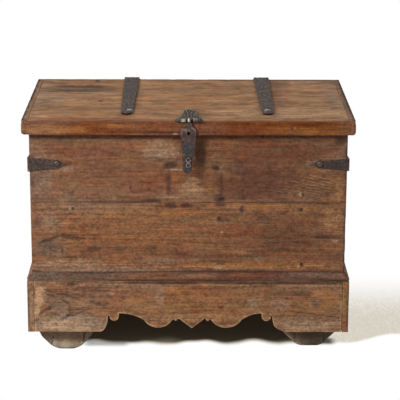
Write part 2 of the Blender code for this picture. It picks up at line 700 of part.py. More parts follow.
def build_corner_straps(front_planks):
    """Iron straps bent round the front corners, each leg tapering to a point."""
    z = WALL_TOP - CORNER_DROP
    tip = CORNER_NECK + CORNER_TIP
    waist = CORNER_NECK + CORNER_TIP / 2
    half = CORNER_HEIGHT / 2
    neck = CORNER_NECK_HEIGHT / 2
    point = CORNER_TIP_HEIGHT / 2
    taper = [(CORNER_NECK, neck), (waist, point), (tip, 0.0), (waist, -point), (CORNER_NECK, -neck)]
    front_leg = [(0.0, half)] + taper + [(0.0, -half)]
    side_leg = [(FIT_GAP, half - FIT_GAP)] + taper + [(FIT_GAP, FIT_GAP - half)]
    proud = FIT_GAP + CORNER_THICKNESS
    for side, sign in SIDES.items():
        corner = Vector((sign * (BODY_HALF + proud), BODY_FRONT - proud, z))
        outline = [(-sign * u, v) for u, v in front_leg]
        mesh = plate_mesh(side + "_corner_strap", outline, CORNER_THICKNESS, FACING_FRONT)
        strap = piece(side + "_corner_strap", mesh, corner + Vector((0.0, CORNER_THICKNESS / 2, 0.0)), IRON)
        mesh = plate_mesh(side + "_corner_leg", side_leg, CORNER_THICKNESS, FACING_SIDE)
        place = corner - Vector((sign * CORNER_THICKNESS / 2, 0.0, 0.0))
        join(strap, tool(side + "_corner_leg", mesh, place))
        nail = corner + Vector((sign * (CORNER_NAIL_INSET - tip), -FIT_GAP, 0.0))
        build_nail(side + "_corner_nail", nail, (0, -1, 0), [strap], front_planks, IRON)


def hasp_outline():
    """Front view of the hasp strap, hanging from its pin's line at y = 0."""
    neck = HASP_KNUCKLE_LENGTH / 2 - HASP_KNUCKLE_GAP
    shoulder = HASP_SHOULDER_WIDTH / 2
    strap = HASP_STRAP_WIDTH / 2
    end = HASP_END_WIDTH / 2
    round_off = HASP_SHOULDER_ROUND
    top = -HASP_NECK_LENGTH
    bottom = top - HASP_SHOULDER_HEIGHT
    step = bottom - HASP_STRAP_LENGTH
    tail = step - HASP_END_LENGTH
    half = [(neck, 0.0), (neck, top)]
    half += arc((shoulder - round_off, top - round_off), round_off, math.pi / 2, 0.0)
    half += [(shoulder, bottom), (strap, bottom - round_off / 2), (strap, step), (end, step - round_off / 2)]
    half += arc((0.0, tail + end), end, 0.0, -math.pi / 2)
    return half + [(-x, y) for x, y in half[-2::-1]]


def leaf_outline():
    """Plan of the hasp's leaf, from its pin's line at y = 0 back to its pointed end."""
    half = LEAF_BARREL_WIDTH / 2
    waist = LEAF_WAIST_WIDTH / 2
    inner = HASP_KNUCKLE_LENGTH / 2 + HASP_KNUCKLE_GAP
    notch = HASP_KNUCKLE_RADIUS + HASP_KNUCKLE_GAP
    bell = LEAF_LENGTH - 2 * waist
    side = [(half, 0.0), (half, LEAF_SHOULDER)]
    for step in range(1, ARC_STEPS + 1):
        share = step / ARC_STEPS
        side.append((waist + (half - waist) * (1 + math.cos(math.pi * share)) / 2,
                     LEAF_SHOULDER + (bell - LEAF_SHOULDER) * share))
    for step in range(1, ARC_STEPS):
        angle = step / ARC_STEPS * math.pi / 2
        side.append((waist * math.cos(angle), bell + 2 * waist * math.sin(angle)))
    return ([(inner, 0.0)] + side + [(0.0, LEAF_LENGTH)] + [(-x, y) for x, y in side[::-1]]
            + [(-inner, 0.0), (-inner, notch), (inner, notch)])


def build_hasp(lid_pivot, hasp_pivot):
    """Leaf on the lid, pin, hanging strap and the staple riveted through it."""
    along = (1, 0, 0)
    hole = bar_tool("hasp_pin_hole", HASP_PIN_RADIUS + FIT_GAP, 2 * LEAF_BARREL_WIDTH, along, HASP_AXIS)

    on_lid = Matrix.Translation((0.0, 0.0, LEAF_THICKNESS / 2 - HASP_KNUCKLE_RADIUS))
    mesh = plate_mesh("hasp_leaf", leaf_outline(), LEAF_THICKNESS, on_lid)
    leaf = piece("hasp_leaf", mesh, HASP_AXIS, IRON, lid_pivot)
    outer = LEAF_BARREL_WIDTH / 2 - FIT_GAP
    inner = HASP_KNUCKLE_LENGTH / 2 + HASP_KNUCKLE_GAP + FIT_GAP
    for end in (-1, 1):
        centre = HASP_AXIS + Vector((end * (outer + inner) / 2, 0.0, 0.0))
        join(leaf, bar_tool("hasp_leaf_knuckle" + str(end), HASP_KNUCKLE_RADIUS, outer - inner,
                            along, centre))
    cut(leaf, hole)

    reach = LEAF_BARREL_WIDTH / 2 + HASP_PIN_OVERSHOOT
    profile = [(0.0, reach), (HASP_PIN_RADIUS, reach), (HASP_PIN_RADIUS, -reach), (0.0, -reach)]
    turned_piece("hasp_pin", profile, HASP_AXIS, along, BRIGHT_IRON, lid_pivot)

    mesh = plate_mesh("hasp_strap", hasp_outline(), HASP_THICKNESS, FACING_FRONT)
    strap = piece("hasp_strap", mesh, HASP_AXIS, IRON, hasp_pivot)
    join(strap, bar_tool("hasp_strap_knuckle", HASP_KNUCKLE_RADIUS, HASP_KNUCKLE_LENGTH, along, HASP_AXIS))
    cut(strap, hole)
    eye = HASP_AXIS - Vector((0.0, 0.0, HASP_NECK_LENGTH + HASP_HOLE_INSET))
    cut(strap, bar_tool("hasp_eye", HASP_HOLE_RADIUS, 4 * HASP_THICKNESS, (0, 1, 0), eye, SMALL_FACETS))
    build_staple(strap, hasp_pivot)


def build_staple(strap, pivot):
    """A loop behind the hasp strap, its two ends riveted over on the front."""
    drop = HASP_NECK_LENGTH + HASP_SHOULDER_HEIGHT + HASP_STRAP_LENGTH + STAPLE_INSET
    centre = HASP_AXIS - Vector((0.0, 0.0, drop))
    half = STAPLE_SPACING / 2
    rivet_y = -HASP_THICKNESS / 2 - FIT_GAP - RIVET_HEAD / 2
    turn = HASP_THICKNESS / 2 + STAPLE_DEPTH - half
    loop = [(0.0, y, z) for y, z in arc((turn, 0.0), half, math.pi / 2, -math.pi / 2)]
    points = [(0.0, rivet_y, half)] + loop + [(0.0, rivet_y, -half)]
    staple = piece("hasp_staple", wire_mesh("hasp_staple", points, STAPLE_RADIUS), centre, IRON, pivot)
    through = (0, 1, 0)
    for name, height in (("upper", half), ("lower", -half)):
        rivet = centre + Vector((0.0, rivet_y, height))
        join(staple, bar_tool(name + "_rivet", RIVET_RADIUS, RIVET_HEAD, through, rivet, SMALL_FACETS))
        hole = centre + Vector((0.0, 0.0, height))
        cut(strap, bar_tool(name + "_rivet_hole", STAPLE_RADIUS + FIT_GAP, 4 * HASP_THICKNESS, through, hole,
                            SMALL_FACETS))


def build_chest():
    lid_pivot = new_pivot("lid_pivot", HINGE_AXIS)
    hasp_pivot = new_pivot("hasp_pivot", HASP_AXIS, lid_pivot)
    front_planks = build_walls()
    build_bottom()
    build_cleats()
    build_plinth()
    build_mouldings()
    build_running_gear()
    boards = build_lid(lid_pivot)
    build_hinges(lid_pivot, boards)
    build_corner_straps(list(front_planks))
    build_hasp(lid_pivot, hasp_pivot)


build_chest()
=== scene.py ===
"""Looks of an old storage chest: worn planks, hammered iron, plank wheels and a plain pale stage.

Metres, +Z up, the front towards -Y, in the frame of the chest's own solids.
"""

import itertools
import json
import math
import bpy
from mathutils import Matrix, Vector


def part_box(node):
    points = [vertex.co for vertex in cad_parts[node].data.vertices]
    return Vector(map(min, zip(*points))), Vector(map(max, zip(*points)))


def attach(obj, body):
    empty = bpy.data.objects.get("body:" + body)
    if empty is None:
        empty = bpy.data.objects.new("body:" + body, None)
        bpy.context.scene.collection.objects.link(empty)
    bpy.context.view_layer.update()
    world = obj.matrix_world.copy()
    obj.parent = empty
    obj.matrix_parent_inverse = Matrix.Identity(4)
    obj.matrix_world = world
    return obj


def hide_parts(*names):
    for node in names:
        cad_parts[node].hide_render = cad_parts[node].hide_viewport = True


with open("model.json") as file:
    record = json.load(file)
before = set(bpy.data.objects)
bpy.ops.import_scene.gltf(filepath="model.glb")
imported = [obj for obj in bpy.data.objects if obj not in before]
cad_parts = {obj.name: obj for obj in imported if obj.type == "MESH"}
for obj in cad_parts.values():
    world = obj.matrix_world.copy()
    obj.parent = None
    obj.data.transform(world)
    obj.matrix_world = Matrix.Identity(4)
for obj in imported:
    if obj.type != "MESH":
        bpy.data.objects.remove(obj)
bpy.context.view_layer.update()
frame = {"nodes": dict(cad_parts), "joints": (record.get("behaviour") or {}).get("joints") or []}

import zlib
from typing import NamedTuple

import bmesh
import bpy
import numpy as np
from bpy.props import FloatProperty, FloatVectorProperty, PointerProperty
from bpy.types import Operator, Panel, PropertyGroup
from mathutils import Matrix, Vector

bl_info = {
    "name": "Old Storage Chest",
    "version": (1, 0, 0),
    "blender": (4, 5, 0),
    "location": "3D View > Sidebar > Chest",
    "description": "Dresses the solids of a plank chest on wheels as worn wood and hammered iron",
    "category": "Object",
}

# Where the solids are
FRONT_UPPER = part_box("front_upper_plank")
FRONT_FACE = FRONT_UPPER[0].y
BACK_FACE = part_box("back_upper_plank")[1].y
BODY_HALF = FRONT_UPPER[1].x
BOTTOM_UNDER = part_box("bottom_board_1")[0].z
APRON_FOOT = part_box("front_apron")[0].z
APRON_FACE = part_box("front_apron")[0].y
PLINTH_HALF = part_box("right_apron")[1].x

# Dressed pieces stay this far off their neighbours, as the plinth does off the wall and the bottom
FIT_GAP = 0.0003
WALL_SIDE = FRONT_FACE - FIT_GAP
REBATE = BOTTOM_UNDER - FIT_GAP

# Directions of the grain
ALONG = {"x": 0, "y": 1, "z": 2}


class Facing(NamedTuple):
    """The way a flat face looks: its right, its up and straight out of it."""

    right: tuple
    up: tuple
    out: tuple

    def matrix(self, level):
        """Places a shape drawn flat on this face, whose height over the origin is a level."""
        turn = Matrix((self.right, self.up, self.out)).transposed().to_4x4()
        return Matrix.Translation(Vector(self.out) * level) @ turn


FRONT = Facing((1, 0, 0), (0, 0, 1), (0, -1, 0))
BACK = Facing((-1, 0, 0), (0, 0, 1), (0, 1, 0))
LEFT = Facing((0, -1, 0), (0, 0, 1), (-1, 0, 0))
RIGHT = Facing((0, 1, 0), (0, 0, 1), (1, 0, 0))
TOP = Facing((1, 0, 0), (0, 1, 0), (0, 0, 1))
SIDES = {"left": (-1, LEFT), "right": (1, RIGHT)}

# Layers of age that a piece's points carry into its finish; the wear layer also carries painted highlights
# and painted light, the grime layer painted shade
LAYERS = ("wear_and_painted_light", "grime", "dust", "red", "honey")


def tone(red, green, blue):
    """Eight-bit screen levels as the linear values that a shader takes."""
    levels = [level / 255 for level in (red, green, blue)]
    return tuple(v / 12.92 if v <= 0.04045 else ((v + 0.055) / 1.055) ** 2.4 for v in levels)


def colour(label, about, *levels):
    return FloatVectorProperty(name=label, description=about, subtype="COLOR", size=3, min=0.0, max=1.0,
                               default=tone(*levels))


def length(label, about, default):
    return FloatProperty(name=label, description=about, default=default, min=0.0, subtype="DISTANCE",
                         unit="LENGTH", precision=4)


class ChestColours(PropertyGroup):
    """Colours of the chest's woods and irons."""

    body: colour("Body wood", "Middle tone of the walls", 118, 79, 56)
    lid: colour("Lid wood", "Middle tone of the lid's boards", 161, 118, 79)
    rim: colour("Lid rim wood", "Middle tone of the rim round the lid", 108, 54, 19)
    plinth: colour("Plinth wood", "Middle tone of the aprons and mouldings", 133, 94, 66)
    inner: colour("Inner wood", "Middle tone of wood that was never oiled", 139, 104, 74)
    wheel: colour("Wheel wood", "Middle tone of the wheels and axles", 130, 115, 98)
    bare: colour("Bare wood", "Edges and faces rubbed down to pale wood", 184, 147, 112)
    # The grime colour is also that of painted shade: under the lid's rim, beside the hasp, in gaps and under
    # iron heads
    grime: colour("Grime", "Old dirt in cracks, stains and nail holes", 48, 32, 31)
    dust: colour("Dust", "Grey dirt on ledges and weathered wood", 144, 123, 105)
    ember: colour("Red wood", "Wood that has kept its red oil", 124, 62, 40)
    honey: colour("Honey wood", "Wood that has turned yellow", 154, 101, 54)
    olive: colour("Olive wood", "Wood that has turned grey-green", 118, 95, 66)
    iron: colour("Iron", "Blackened iron of the straps and the hasp", 73, 60, 54)
    bright: colour("Bright iron", "Iron rubbed bright at the hasp's barrel", 124, 118, 102)
    floor: colour("Floor", "Pale floor under the chest", 214, 207, 192)


class ChestSizes(PropertyGroup):
    """Sizes of the chest's wear."""

    plank_edge: length("Plank edge", "Largest rounding of a plank's worn edge", 0.0030)
    rim_edge: length("Rim edge", "Largest rounding of the lid rim's worn edge", 0.0055)
    rim_corner: length("Rim corner", "Rounding at the ends of the lid's front rim", 0.0115)
    apron_edge: length("Apron edge", "Rounding of the scalloped edge", 0.0020)
    iron_edge: length("Iron edge", "Rounding of a strap's edge", 0.0010)
    sway: length("Sway", "Depth of the hand plane's hollows", 0.0007)
    dent: length("Dent", "Depth of knocks along the edges", 0.0018)
    hammer: length("Hammer marks", "Depth of the hammer marks in the iron", 0.0005)
    nail_radius: length("Nail head", "Radius of a nail's head in the front", 0.0046)
    plug_radius: length("Plug", "Radius of a wooden plug in the front", 0.0075)


class ChestStage(PropertyGroup):
    """Camera and light."""

    lens: FloatProperty(name="Lens", description="Focal length in millimetres on a 36 mm sensor",
                        default=153.2, min=20.0)
    key: FloatProperty(name="Key light", description="Power of the soft light from the left",
                       default=92.0, min=0.0, subtype="POWER", unit="POWER")
    sky: FloatProperty(name="Sky", description="Strength of the even light from all round",
                       default=0.42, min=0.0, subtype="FACTOR")


def colours():
    return bpy.context.scene.chest_colours


def sizes():
    return bpy.context.scene.chest_sizes


# Noise over points

def hashed(cells):
    """A steady value from 0 to 1 for each cell of a lattice."""
    mixed = np.sin(cells @ np.array((127.1, 311.7, 74.7))) * 43758.5453
    return mixed - np.floor(mixed)


def noise(points, waves, seed):
    """Smooth noise from -1 to 1, with a number of waves a metre for all axes or for each."""
    spots = points * np.asarray(waves, float) + seed * 7.31
    cells = np.floor(spots)
    share = spots - cells
    share = share * share * (3 - 2 * share)
    total = np.zeros(len(points))
    for corner in itertools.product((0, 1), repeat=3):
        weight = np.prod(np.where(corner, share, 1 - share), axis=1)
        total += weight * hashed(cells + np.array(corner))
    return 2 * total - 1


def seed_of(name):
    return zlib.crc32(name.encode()) % 89


def fade(distance, reach):
    """Falls smoothly from 1 as a distance grows past a reach."""
    return np.exp(-(distance / reach) ** 2)


def ramp(values, low, high):
    """Goes evenly from 0 to 1 between two values."""
    return np.clip((values - low) / (high - low), 0.0, 1.0)


# How far wear, rubbing and dust reach in from an edge
WEAR_REACH = 0.006
RUB_REACH = 0.020
DUST_REACH = 0.045
IRON_WEAR_REACH = 0.0022

# Waves a metre of a plank's hollows and of a mark's frayed edge, across and along the grain
HOLLOWS_ACROSS = 16.0
HOLLOWS_ALONG = 3.5
FRAY_ACROSS = 110.0
FRAY_ALONG = 25.0
FINE_FRAY = 2.7


class Mark(NamedTuple):
    """A patch on a face: its layer, middle, half sizes, strength, depth of cut, slant and raggedness."""

    layer: str
    across: float
    up: float
    half_width: float
    half_height: float
    strength: float
    depth: float = 0.0
    slant: float = 0.0
    ragged: float = 1.0


class Skin:
    """A mesh's points, the way each looks out, its distance from the nearest edge and its layers of age."""

    def __init__(self, mesh, rim, seed):
        self.mesh = mesh
        self.points = self.read(mesh.vertices, "co")
        self.outward = self.read(mesh.vertex_normals, "vector")
        self.rim = rim
        self.seed = seed
        self.height = np.zeros(len(self.points))
        self.layers = {layer: np.zeros(len(self.points)) for layer in LAYERS}

    @staticmethod
    def read(items, field):
        values = np.zeros(len(items) * 3, np.float32)
        items.foreach_get(field, values)
        return values.reshape(-1, 3).astype(float)

    def noise(self, waves, salt=0):
        return noise(self.points, waves, self.seed + salt)

    def raise_layer(self, layer, cover):
        self.layers[layer] = np.maximum(self.layers[layer], np.clip(cover, 0.0, 1.0))

    def paint(self, marks, facing):
        """Lay marks on the side of the piece that looks a given way."""
        across = self.points @ np.array(facing.right, float)
        up = self.points @ np.array(facing.up, float)
        shown = self.outward @ np.array(facing.out, float) > 0.5
        streaked = np.where(facing.right, FRAY_ALONG, FRAY_ACROSS)
        fray = 0.4 * self.noise(streaked, 5) + 0.25 * self.noise(streaked * FINE_FRAY, 6)
        for mark in marks:
            lean = mark.slant * (across - mark.across)
            spread = np.hypot((across - mark.across) / mark.half_width,
                              (up - mark.up - lean) / mark.half_height)
            cover = np.clip(1.5 - spread - mark.ragged * fray, 0.0, 1.0) * shown
            cover = cover * cover * (3 - 2 * cover)
            self.raise_layer(mark.layer, cover * mark.strength)
            self.height -= mark.depth * cover

    def weather(self, grain, rubbed=1.0):
        """Age a plank all over: hollows along its grain, knocks and rubbed places along its edges."""
        waves = np.full(3, HOLLOWS_ACROSS)
        waves[ALONG[grain]] = HOLLOWS_ALONG
        hollow = 0.7 * self.noise(waves, 1) + 0.3 * self.noise(waves * 4, 2)
        near = fade(self.rim, WEAR_REACH)
        patchy = self.noise(13, 3) + 0.6 * self.noise(45, 4)
        knocks = np.clip(self.noise(38, 7) - 0.35, 0.0, 1.0)
        self.height -= sizes().sway * (0.5 + 0.5 * hollow)
        self.height -= sizes().dent * knocks * near
        self.raise_layer("wear_and_painted_light", rubbed * near * (0.45 + 0.55 * patchy))
        self.raise_layer("wear_and_painted_light", 0.35 * rubbed * fade(self.rim, RUB_REACH) * (0.4 + patchy))
        self.raise_layer("dust", 0.35 * fade(self.rim, DUST_REACH) * (0.4 + self.noise(6, 8)))

    def hammer(self):
        """Beat an iron piece: shallow facets all over, rubbed edges."""
        facets = self.noise(75, 1) + 0.5 * self.noise(190, 2)
        self.height += sizes().hammer * (0.5 * facets - 0.5)
        near = fade(self.rim, IRON_WEAR_REACH)
        self.raise_layer("wear_and_painted_light", near * (0.35 + 0.65 * self.noise(90, 3)))

    def finish(self):
        """Write the points and layers back to the mesh."""
        self.points += self.outward * self.height[:, None]
        self.mesh.vertices.foreach_set("co", self.points.astype(np.float32).ravel())
        for layer, values in self.layers.items():
            attribute = self.mesh.attributes.new(layer, "FLOAT", "POINT")
            attribute.data.foreach_set("value", np.clip(values, 0.0, 1.0).astype(np.float32))
        self.mesh.shade_smooth()
        self.mesh.update()
        return self.mesh


# Shapes

# Grid lines by an edge and the least gap between them, as shares of the edge's rounding
EDGE_LINES = (0.0, 0.18, 0.45, 0.75, 1.0, 1.5)
LEAST_GAP = 0.12

# A turned piece is all as far from an edge as this, and rubbed nowhere in particular
TURNED_RIM = 0.01


def grid_lines(low, high, edge, step, focus=()):
    """Places of grid lines across a plank: close by its edges and its marks, even between."""
    near = np.array(EDGE_LINES) * edge
    count = max(1, round((high - low - 2 * near[-1]) / step))
    even = np.linspace(low + near[-1], high - near[-1], count + 1)
    lines = np.unique(np.concatenate((low + near, high - near, even, np.asarray(focus, float))))
    lines = lines[(lines >= low) & (lines <= high)]
    apart = np.concatenate(([True], np.diff(lines) > LEAST_GAP * edge))
    apart[-1] = True
    return lines[apart]


def lattice(lines):
    """Points and outward faces of a box on three sets of grid lines."""
    counts = [len(line) for line in lines]
    grid = np.indices(counts)
    ends = [(grid[axis] == 0) | (grid[axis] == counts[axis] - 1) for axis in range(3)]
    surface = ends[0] | ends[1] | ends[2]
    index = np.full(counts, -1)
    index[surface] = np.arange(surface.sum())
    points = np.stack([lines[axis][grid[axis][surface]] for axis in range(3)], axis=1)
    faces = []
    for axis, end in itertools.product(range(3), (0, -1)):
        sheet = np.take(index, end, axis=axis)
        corners = (sheet[:-1, :-1], sheet[1:, :-1], sheet[1:, 1:], sheet[:-1, 1:])
        quads = np.stack(corners, axis=-1).reshape(-1, 4)
        natural = -1 if axis == 1 else 1
        wanted = -1 if end == 0 else 1
        faces.append(quads if natural == wanted else quads[:, ::-1])
    return points, np.concatenate(faces)


def new_mesh(name, points, faces):
    mesh = bpy.data.meshes.new(name)
    mesh.from_pydata(np.asarray(points).tolist(), [], [list(map(int, face)) for face in faces])
    mesh.update()
    return mesh


def worn_box(name, low, high, edge, step, focus=((), (), ()), corner=0.0, carve=None):
    """The skin of a plank with unevenly rounded edges, rounder towards its ends if a corner is given."""
    low = np.array(low, float)
    high = np.array(high, float)
    widest = max(edge, corner)
    lines = [grid_lines(low[axis], high[axis], widest, step, focus[axis]) for axis in range(3)]
    points, faces = lattice(lines)
    to_faces = np.minimum(points - low, high - points)
    rim = np.sort(to_faces, axis=1)[:, 1]
    seed = seed_of(name)
    uneven = 0.62 + 0.38 * noise(points, 11, seed)
    radius = edge * np.clip(uneven, 0.2, 1.0)
    if corner:
        radius = radius + (corner - radius) * fade(to_faces[:, 0], 2 * corner)
    radius = radius[:, None]
    inner = np.clip(points, low + radius, high - radius)
    out = points - inner
    points = inner + out / np.linalg.norm(out, axis=1, keepdims=True) * radius
    if carve:
        # Points that the carving put in one place become one
        carved = np.round(carve(points), 6)
        points, first, same = np.unique(carved, axis=0, return_index=True, return_inverse=True)
        rim = rim[first]
        faces = [list(dict.fromkeys(face)) for face in same.ravel()[faces].tolist()]
        faces = [face for face in faces if len(face) > 2]
    return Skin(new_mesh(name, points, faces), rim, seed)


def face_loops(node, facing):
    """Outline and holes of a solid's largest flat face that looks a given way, and that face's level."""
    mesh = frame["nodes"][node].data
    axes = np.array((facing.right, facing.up, facing.out), float)
    points = np.array([vertex.co for vertex in mesh.vertices], float) @ axes.T
    out = Vector(facing.out)
    flat = [p for p in mesh.polygons if p.normal.dot(out) > 0.999]
    areas = {}
    for polygon in flat:
        height = round(points[polygon.vertices[0], 2], 5)
        areas[height] = areas.get(height, 0.0) + polygon.area
    level = max(areas, key=areas.get)
    return chain_loops(flat, points, level), level


def chain_loops(flat, points, level):
    """Chain the edges that only one face has into closed loops."""
    edges = set()
    for polygon in flat:
        if abs(points[polygon.vertices[0], 2] - level) < 2e-5:
            corners = [tuple(np.round(points[i, :2], 6)) for i in polygon.vertices]
            edges.update(zip(corners, corners[1:] + corners[:1]))
    rim = {start: end for start, end in edges if (end, start) not in edges}
    loops = []
    while rim:
        start, point = next(iter(rim.items()))
        del rim[start]
        loop = [start]
        while point != start:
            loop.append(point)
            point = rim.pop(point)
        loops.append(without_straight_points(loop))
    return loops


def without_straight_points(loop):
    kept = []
    for before, point, after in zip(loop[-1:] + loop[:-1], loop, loop[1:] + loop[:1]):
        first = np.subtract(point, before)
        second = np.subtract(after, point)
        if abs(first[0] * second[1] - first[1] * second[0]) > 1e-9:
            kept.append(point)
    return kept


def inset(loop, amount):
    """A loop moved towards its left, which is the solid's side of it."""
    loop = np.array(loop, float)
    ahead = np.roll(loop, -1, axis=0) - loop
    ahead /= np.linalg.norm(ahead, axis=1, keepdims=True)
    behind = np.roll(ahead, 1, axis=0)
    first = np.stack((-behind[:, 1], behind[:, 0]), axis=1)
    second = np.stack((-ahead[:, 1], ahead[:, 0]), axis=1)
    share = np.maximum(1 + (first * second).sum(axis=1, keepdims=True), 0.6)
    return loop + amount * (first + second) / share


def distance_to(loops, points):
    """Distance of flat points from the nearest of the loops."""
    nearest = np.full(len(points), 1.0)
    for loop in loops:
        loop = np.array(loop, float)
        for start, end in zip(loop, np.roll(loop, -1, axis=0)):
            run = end - start
            share = np.clip(((points - start) @ run) / (run @ run), 0.0, 1.0)
            nearest = np.minimum(nearest, np.linalg.norm(points - start - share[:, None] * run, axis=1))
    return nearest


def slab(name, loops, thickness, edge, step, facing, level, lines=((), ())):
    """The skin of a plate cut to loops, with rounded rims and a grid of points over its faces."""
    bm = bmesh.new()
    quarter = [math.radians(angle) for angle in (0, 30, 60, 90)]
    front = [(edge * (1 - math.sin(a)), -edge * (1 - math.cos(a))) for a in quarter]
    profile = front + [(gap, -thickness - height) for gap, height in reversed(front)]
    rims = ([], [])
    for loop in loops:
        rings = [[bm.verts.new((*point, height)) for point in inset(loop, gap)] for gap, height in profile]
        for ring, below in zip(rings, rings[1:]):
            for i, vertex in enumerate(ring):
                j = (i + 1) % len(ring)
                bm.faces.new((vertex, below[i], below[j], ring[j]))
        rims[0].append(rings[0])
        rims[1].append(rings[-1])
    for rings in rims:
        if len(loops) == 1:
            bm.faces.new(rings[0])
        else:
            rim_edges = [bm.edges.get((ring[i - 1], ring[i])) for ring in rings for i in range(len(ring))]
            bmesh.ops.triangle_fill(bm, use_beauty=True, edges=rim_edges)
    bmesh.ops.recalc_face_normals(bm, faces=bm.faces)
    corners = np.concatenate([np.array(loop, float) for loop in loops])
    for axis in range(2):
        low, high = corners[:, axis].min(), corners[:, axis].max()
        even = np.linspace(low, high, max(2, round((high - low) / step)) + 1)[1:-1]
        direction = Vector((1 - axis, axis, 0))
        for place in np.concatenate((even, np.asarray(lines[axis], float))):
            bmesh.ops.bisect_plane(bm, geom=bm.verts[:] + bm.edges[:] + bm.faces[:], dist=1e-5,
                                   plane_co=direction * place, plane_no=direction)
    bmesh.ops.triangulate(bm, faces=[face for face in bm.faces if len(face.verts) > 4])
    flat = np.array([vertex.co[:2] for vertex in bm.verts])
    mesh = bpy.data.meshes.new(name)
    bm.to_mesh(mesh)
    bm.free()
    mesh.transform(facing.matrix(level))
    return Skin(mesh, distance_to(loops, flat), seed_of(name))


def turned(name, profile, place, axis, facets=24):
    """The skin of a turned piece, from a profile of radius and height given from its top down."""
    turn = Vector((0, 0, 1)).rotation_difference(Vector(axis)).to_matrix()
    points = []
    faces = []
    rings = []
    for radius, height in profile:
        count = facets if radius > 1e-6 else 1
        rings.append(range(len(points), len(points) + count))
        for i in range(count):
            angle = 2 * math.pi * i / facets
            flat = Vector((radius * math.cos(angle), radius * math.sin(angle), height))
            points.append(turn @ flat + Vector(place))
    for ring, below in zip(rings, rings[1:]):
        for i in range(facets):
            j = (i + 1) % facets
            corners = [ring[i % len(ring)], below[i % len(below)], below[j % len(below)], ring[j % len(ring)]]
            faces.append(list(dict.fromkeys(corners)))
    rim = np.full(len(points), TURNED_RIM)
    return Skin(new_mesh(name, points, faces), rim, seed_of(name))


def joined(name, skins):
    """One mesh of several finished skins."""
    bm = bmesh.new()
    for skin in skins:
        bm.from_mesh(skin.finish())
        bpy.data.meshes.remove(skin.mesh)
    mesh = bpy.data.meshes.new(name)
    bm.to_mesh(mesh)
    bm.free()
    return mesh


def joint_axis(name):
    return Vector(next(joint for joint in frame["joints"] if joint["name"] == name)["pos_m"])


def settle(mesh, body, slot, material, *nodes):
    """Add a finished piece that moves with a body and stands for its solids."""
    obj = bpy.data.objects.new(mesh.name, mesh)
    bpy.context.scene.collection.objects.link(obj)
    mesh.materials.append(material)
    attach(obj, body)
    if nodes:
        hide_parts(*nodes)
    return obj


# Finishes

class Field:
    """One output of a finish's nodes; sums and products of values add Math nodes."""

    def __init__(self, tree, socket):
        self.tree = tree
        self.socket = socket

    def node(self, kind, settings=None, inputs=None, output=0):
        """Add any node: its settings first, then what its sockets take, and give back one of its outputs."""
        made = self.tree.nodes.new(kind)
        for key, value in (settings or {}).items():
            setattr(made, key, value)
        for key, value in (inputs or {}).items():
            if isinstance(value, Field):
                self.tree.links.new(value.socket, made.inputs[key])
            else:
                made.inputs[key].default_value = value
        return Field(self.tree, made.outputs[output])

    def math(self, operation, *values):
        return self.node("ShaderNodeMath", {"operation": operation}, dict(enumerate(values)))

    def __add__(self, other):
        return self.math("ADD", self, other)

    def __radd__(self, other):
        return self.math("ADD", other, self)

    def __sub__(self, other):
        return self.math("SUBTRACT", self, other)

    def __rsub__(self, other):
        return self.math("SUBTRACT", other, self)

    def __mul__(self, other):
        return self.math("MULTIPLY", self, other)

    def __rmul__(self, other):
        return self.math("MULTIPLY", other, self)

    def ramp(self, low, high):
        """Goes smoothly from 0 to 1 between two values."""
        return self.node("ShaderNodeMapRange", {"interpolation_type": "SMOOTHSTEP"},
                         {"Value": self, "From Min": low, "From Max": high})

    def mix(self, first, second):
        """Goes from the first colour to the second as this value goes from 0 to 1."""
        return self.node("ShaderNodeMix", {"data_type": "RGBA"}, {0: self, 6: first, 7: second}, 2)

    def times(self, scale):
        return self.node("ShaderNodeVectorMath", {"operation": "MULTIPLY"}, {0: self, 1: scale})

    def shifted(self, offset):
        return self.node("ShaderNodeVectorMath", {"operation": "ADD"}, {0: self, 1: offset})

    def noise(self, cell, salt, detail=2.0, roughness=0.5):
        """Noise around 0.5, in cells of a size along each axis."""
        spot = self.times([1 / size for size in cell]).shifted((salt * 3.7, salt * 1.9, salt * 5.3))
        return self.node("ShaderNodeTexNoise", None, {"Vector": spot, "Scale": 1.0, "Detail": detail,
                                                      "Roughness": roughness})

    def layer(self, name):
        return self.node("ShaderNodeAttribute", {"attribute_name": name}, None, 2)


def opaque(values, scale=1.0):
    """A colour with full alpha, made lighter or darker."""
    scales = scale if isinstance(scale, tuple) else (scale,) * 3
    return (*(min(1.0, value * by) for value, by in zip(values, scales)), 1.0)


def new_finish(name):
    """An empty finish: its material, its shader and the place of each point in the chest's frame."""
    material = bpy.data.materials.new(name)
    material.use_nodes = True
    tree = material.node_tree
    place = Field(tree, tree.nodes.new("ShaderNodeTexCoord").outputs["Object"])
    return material, tree.nodes["Principled BSDF"], place


def feed(shader, socket, field):
    field.tree.links.new(field.socket, shader.inputs[socket])


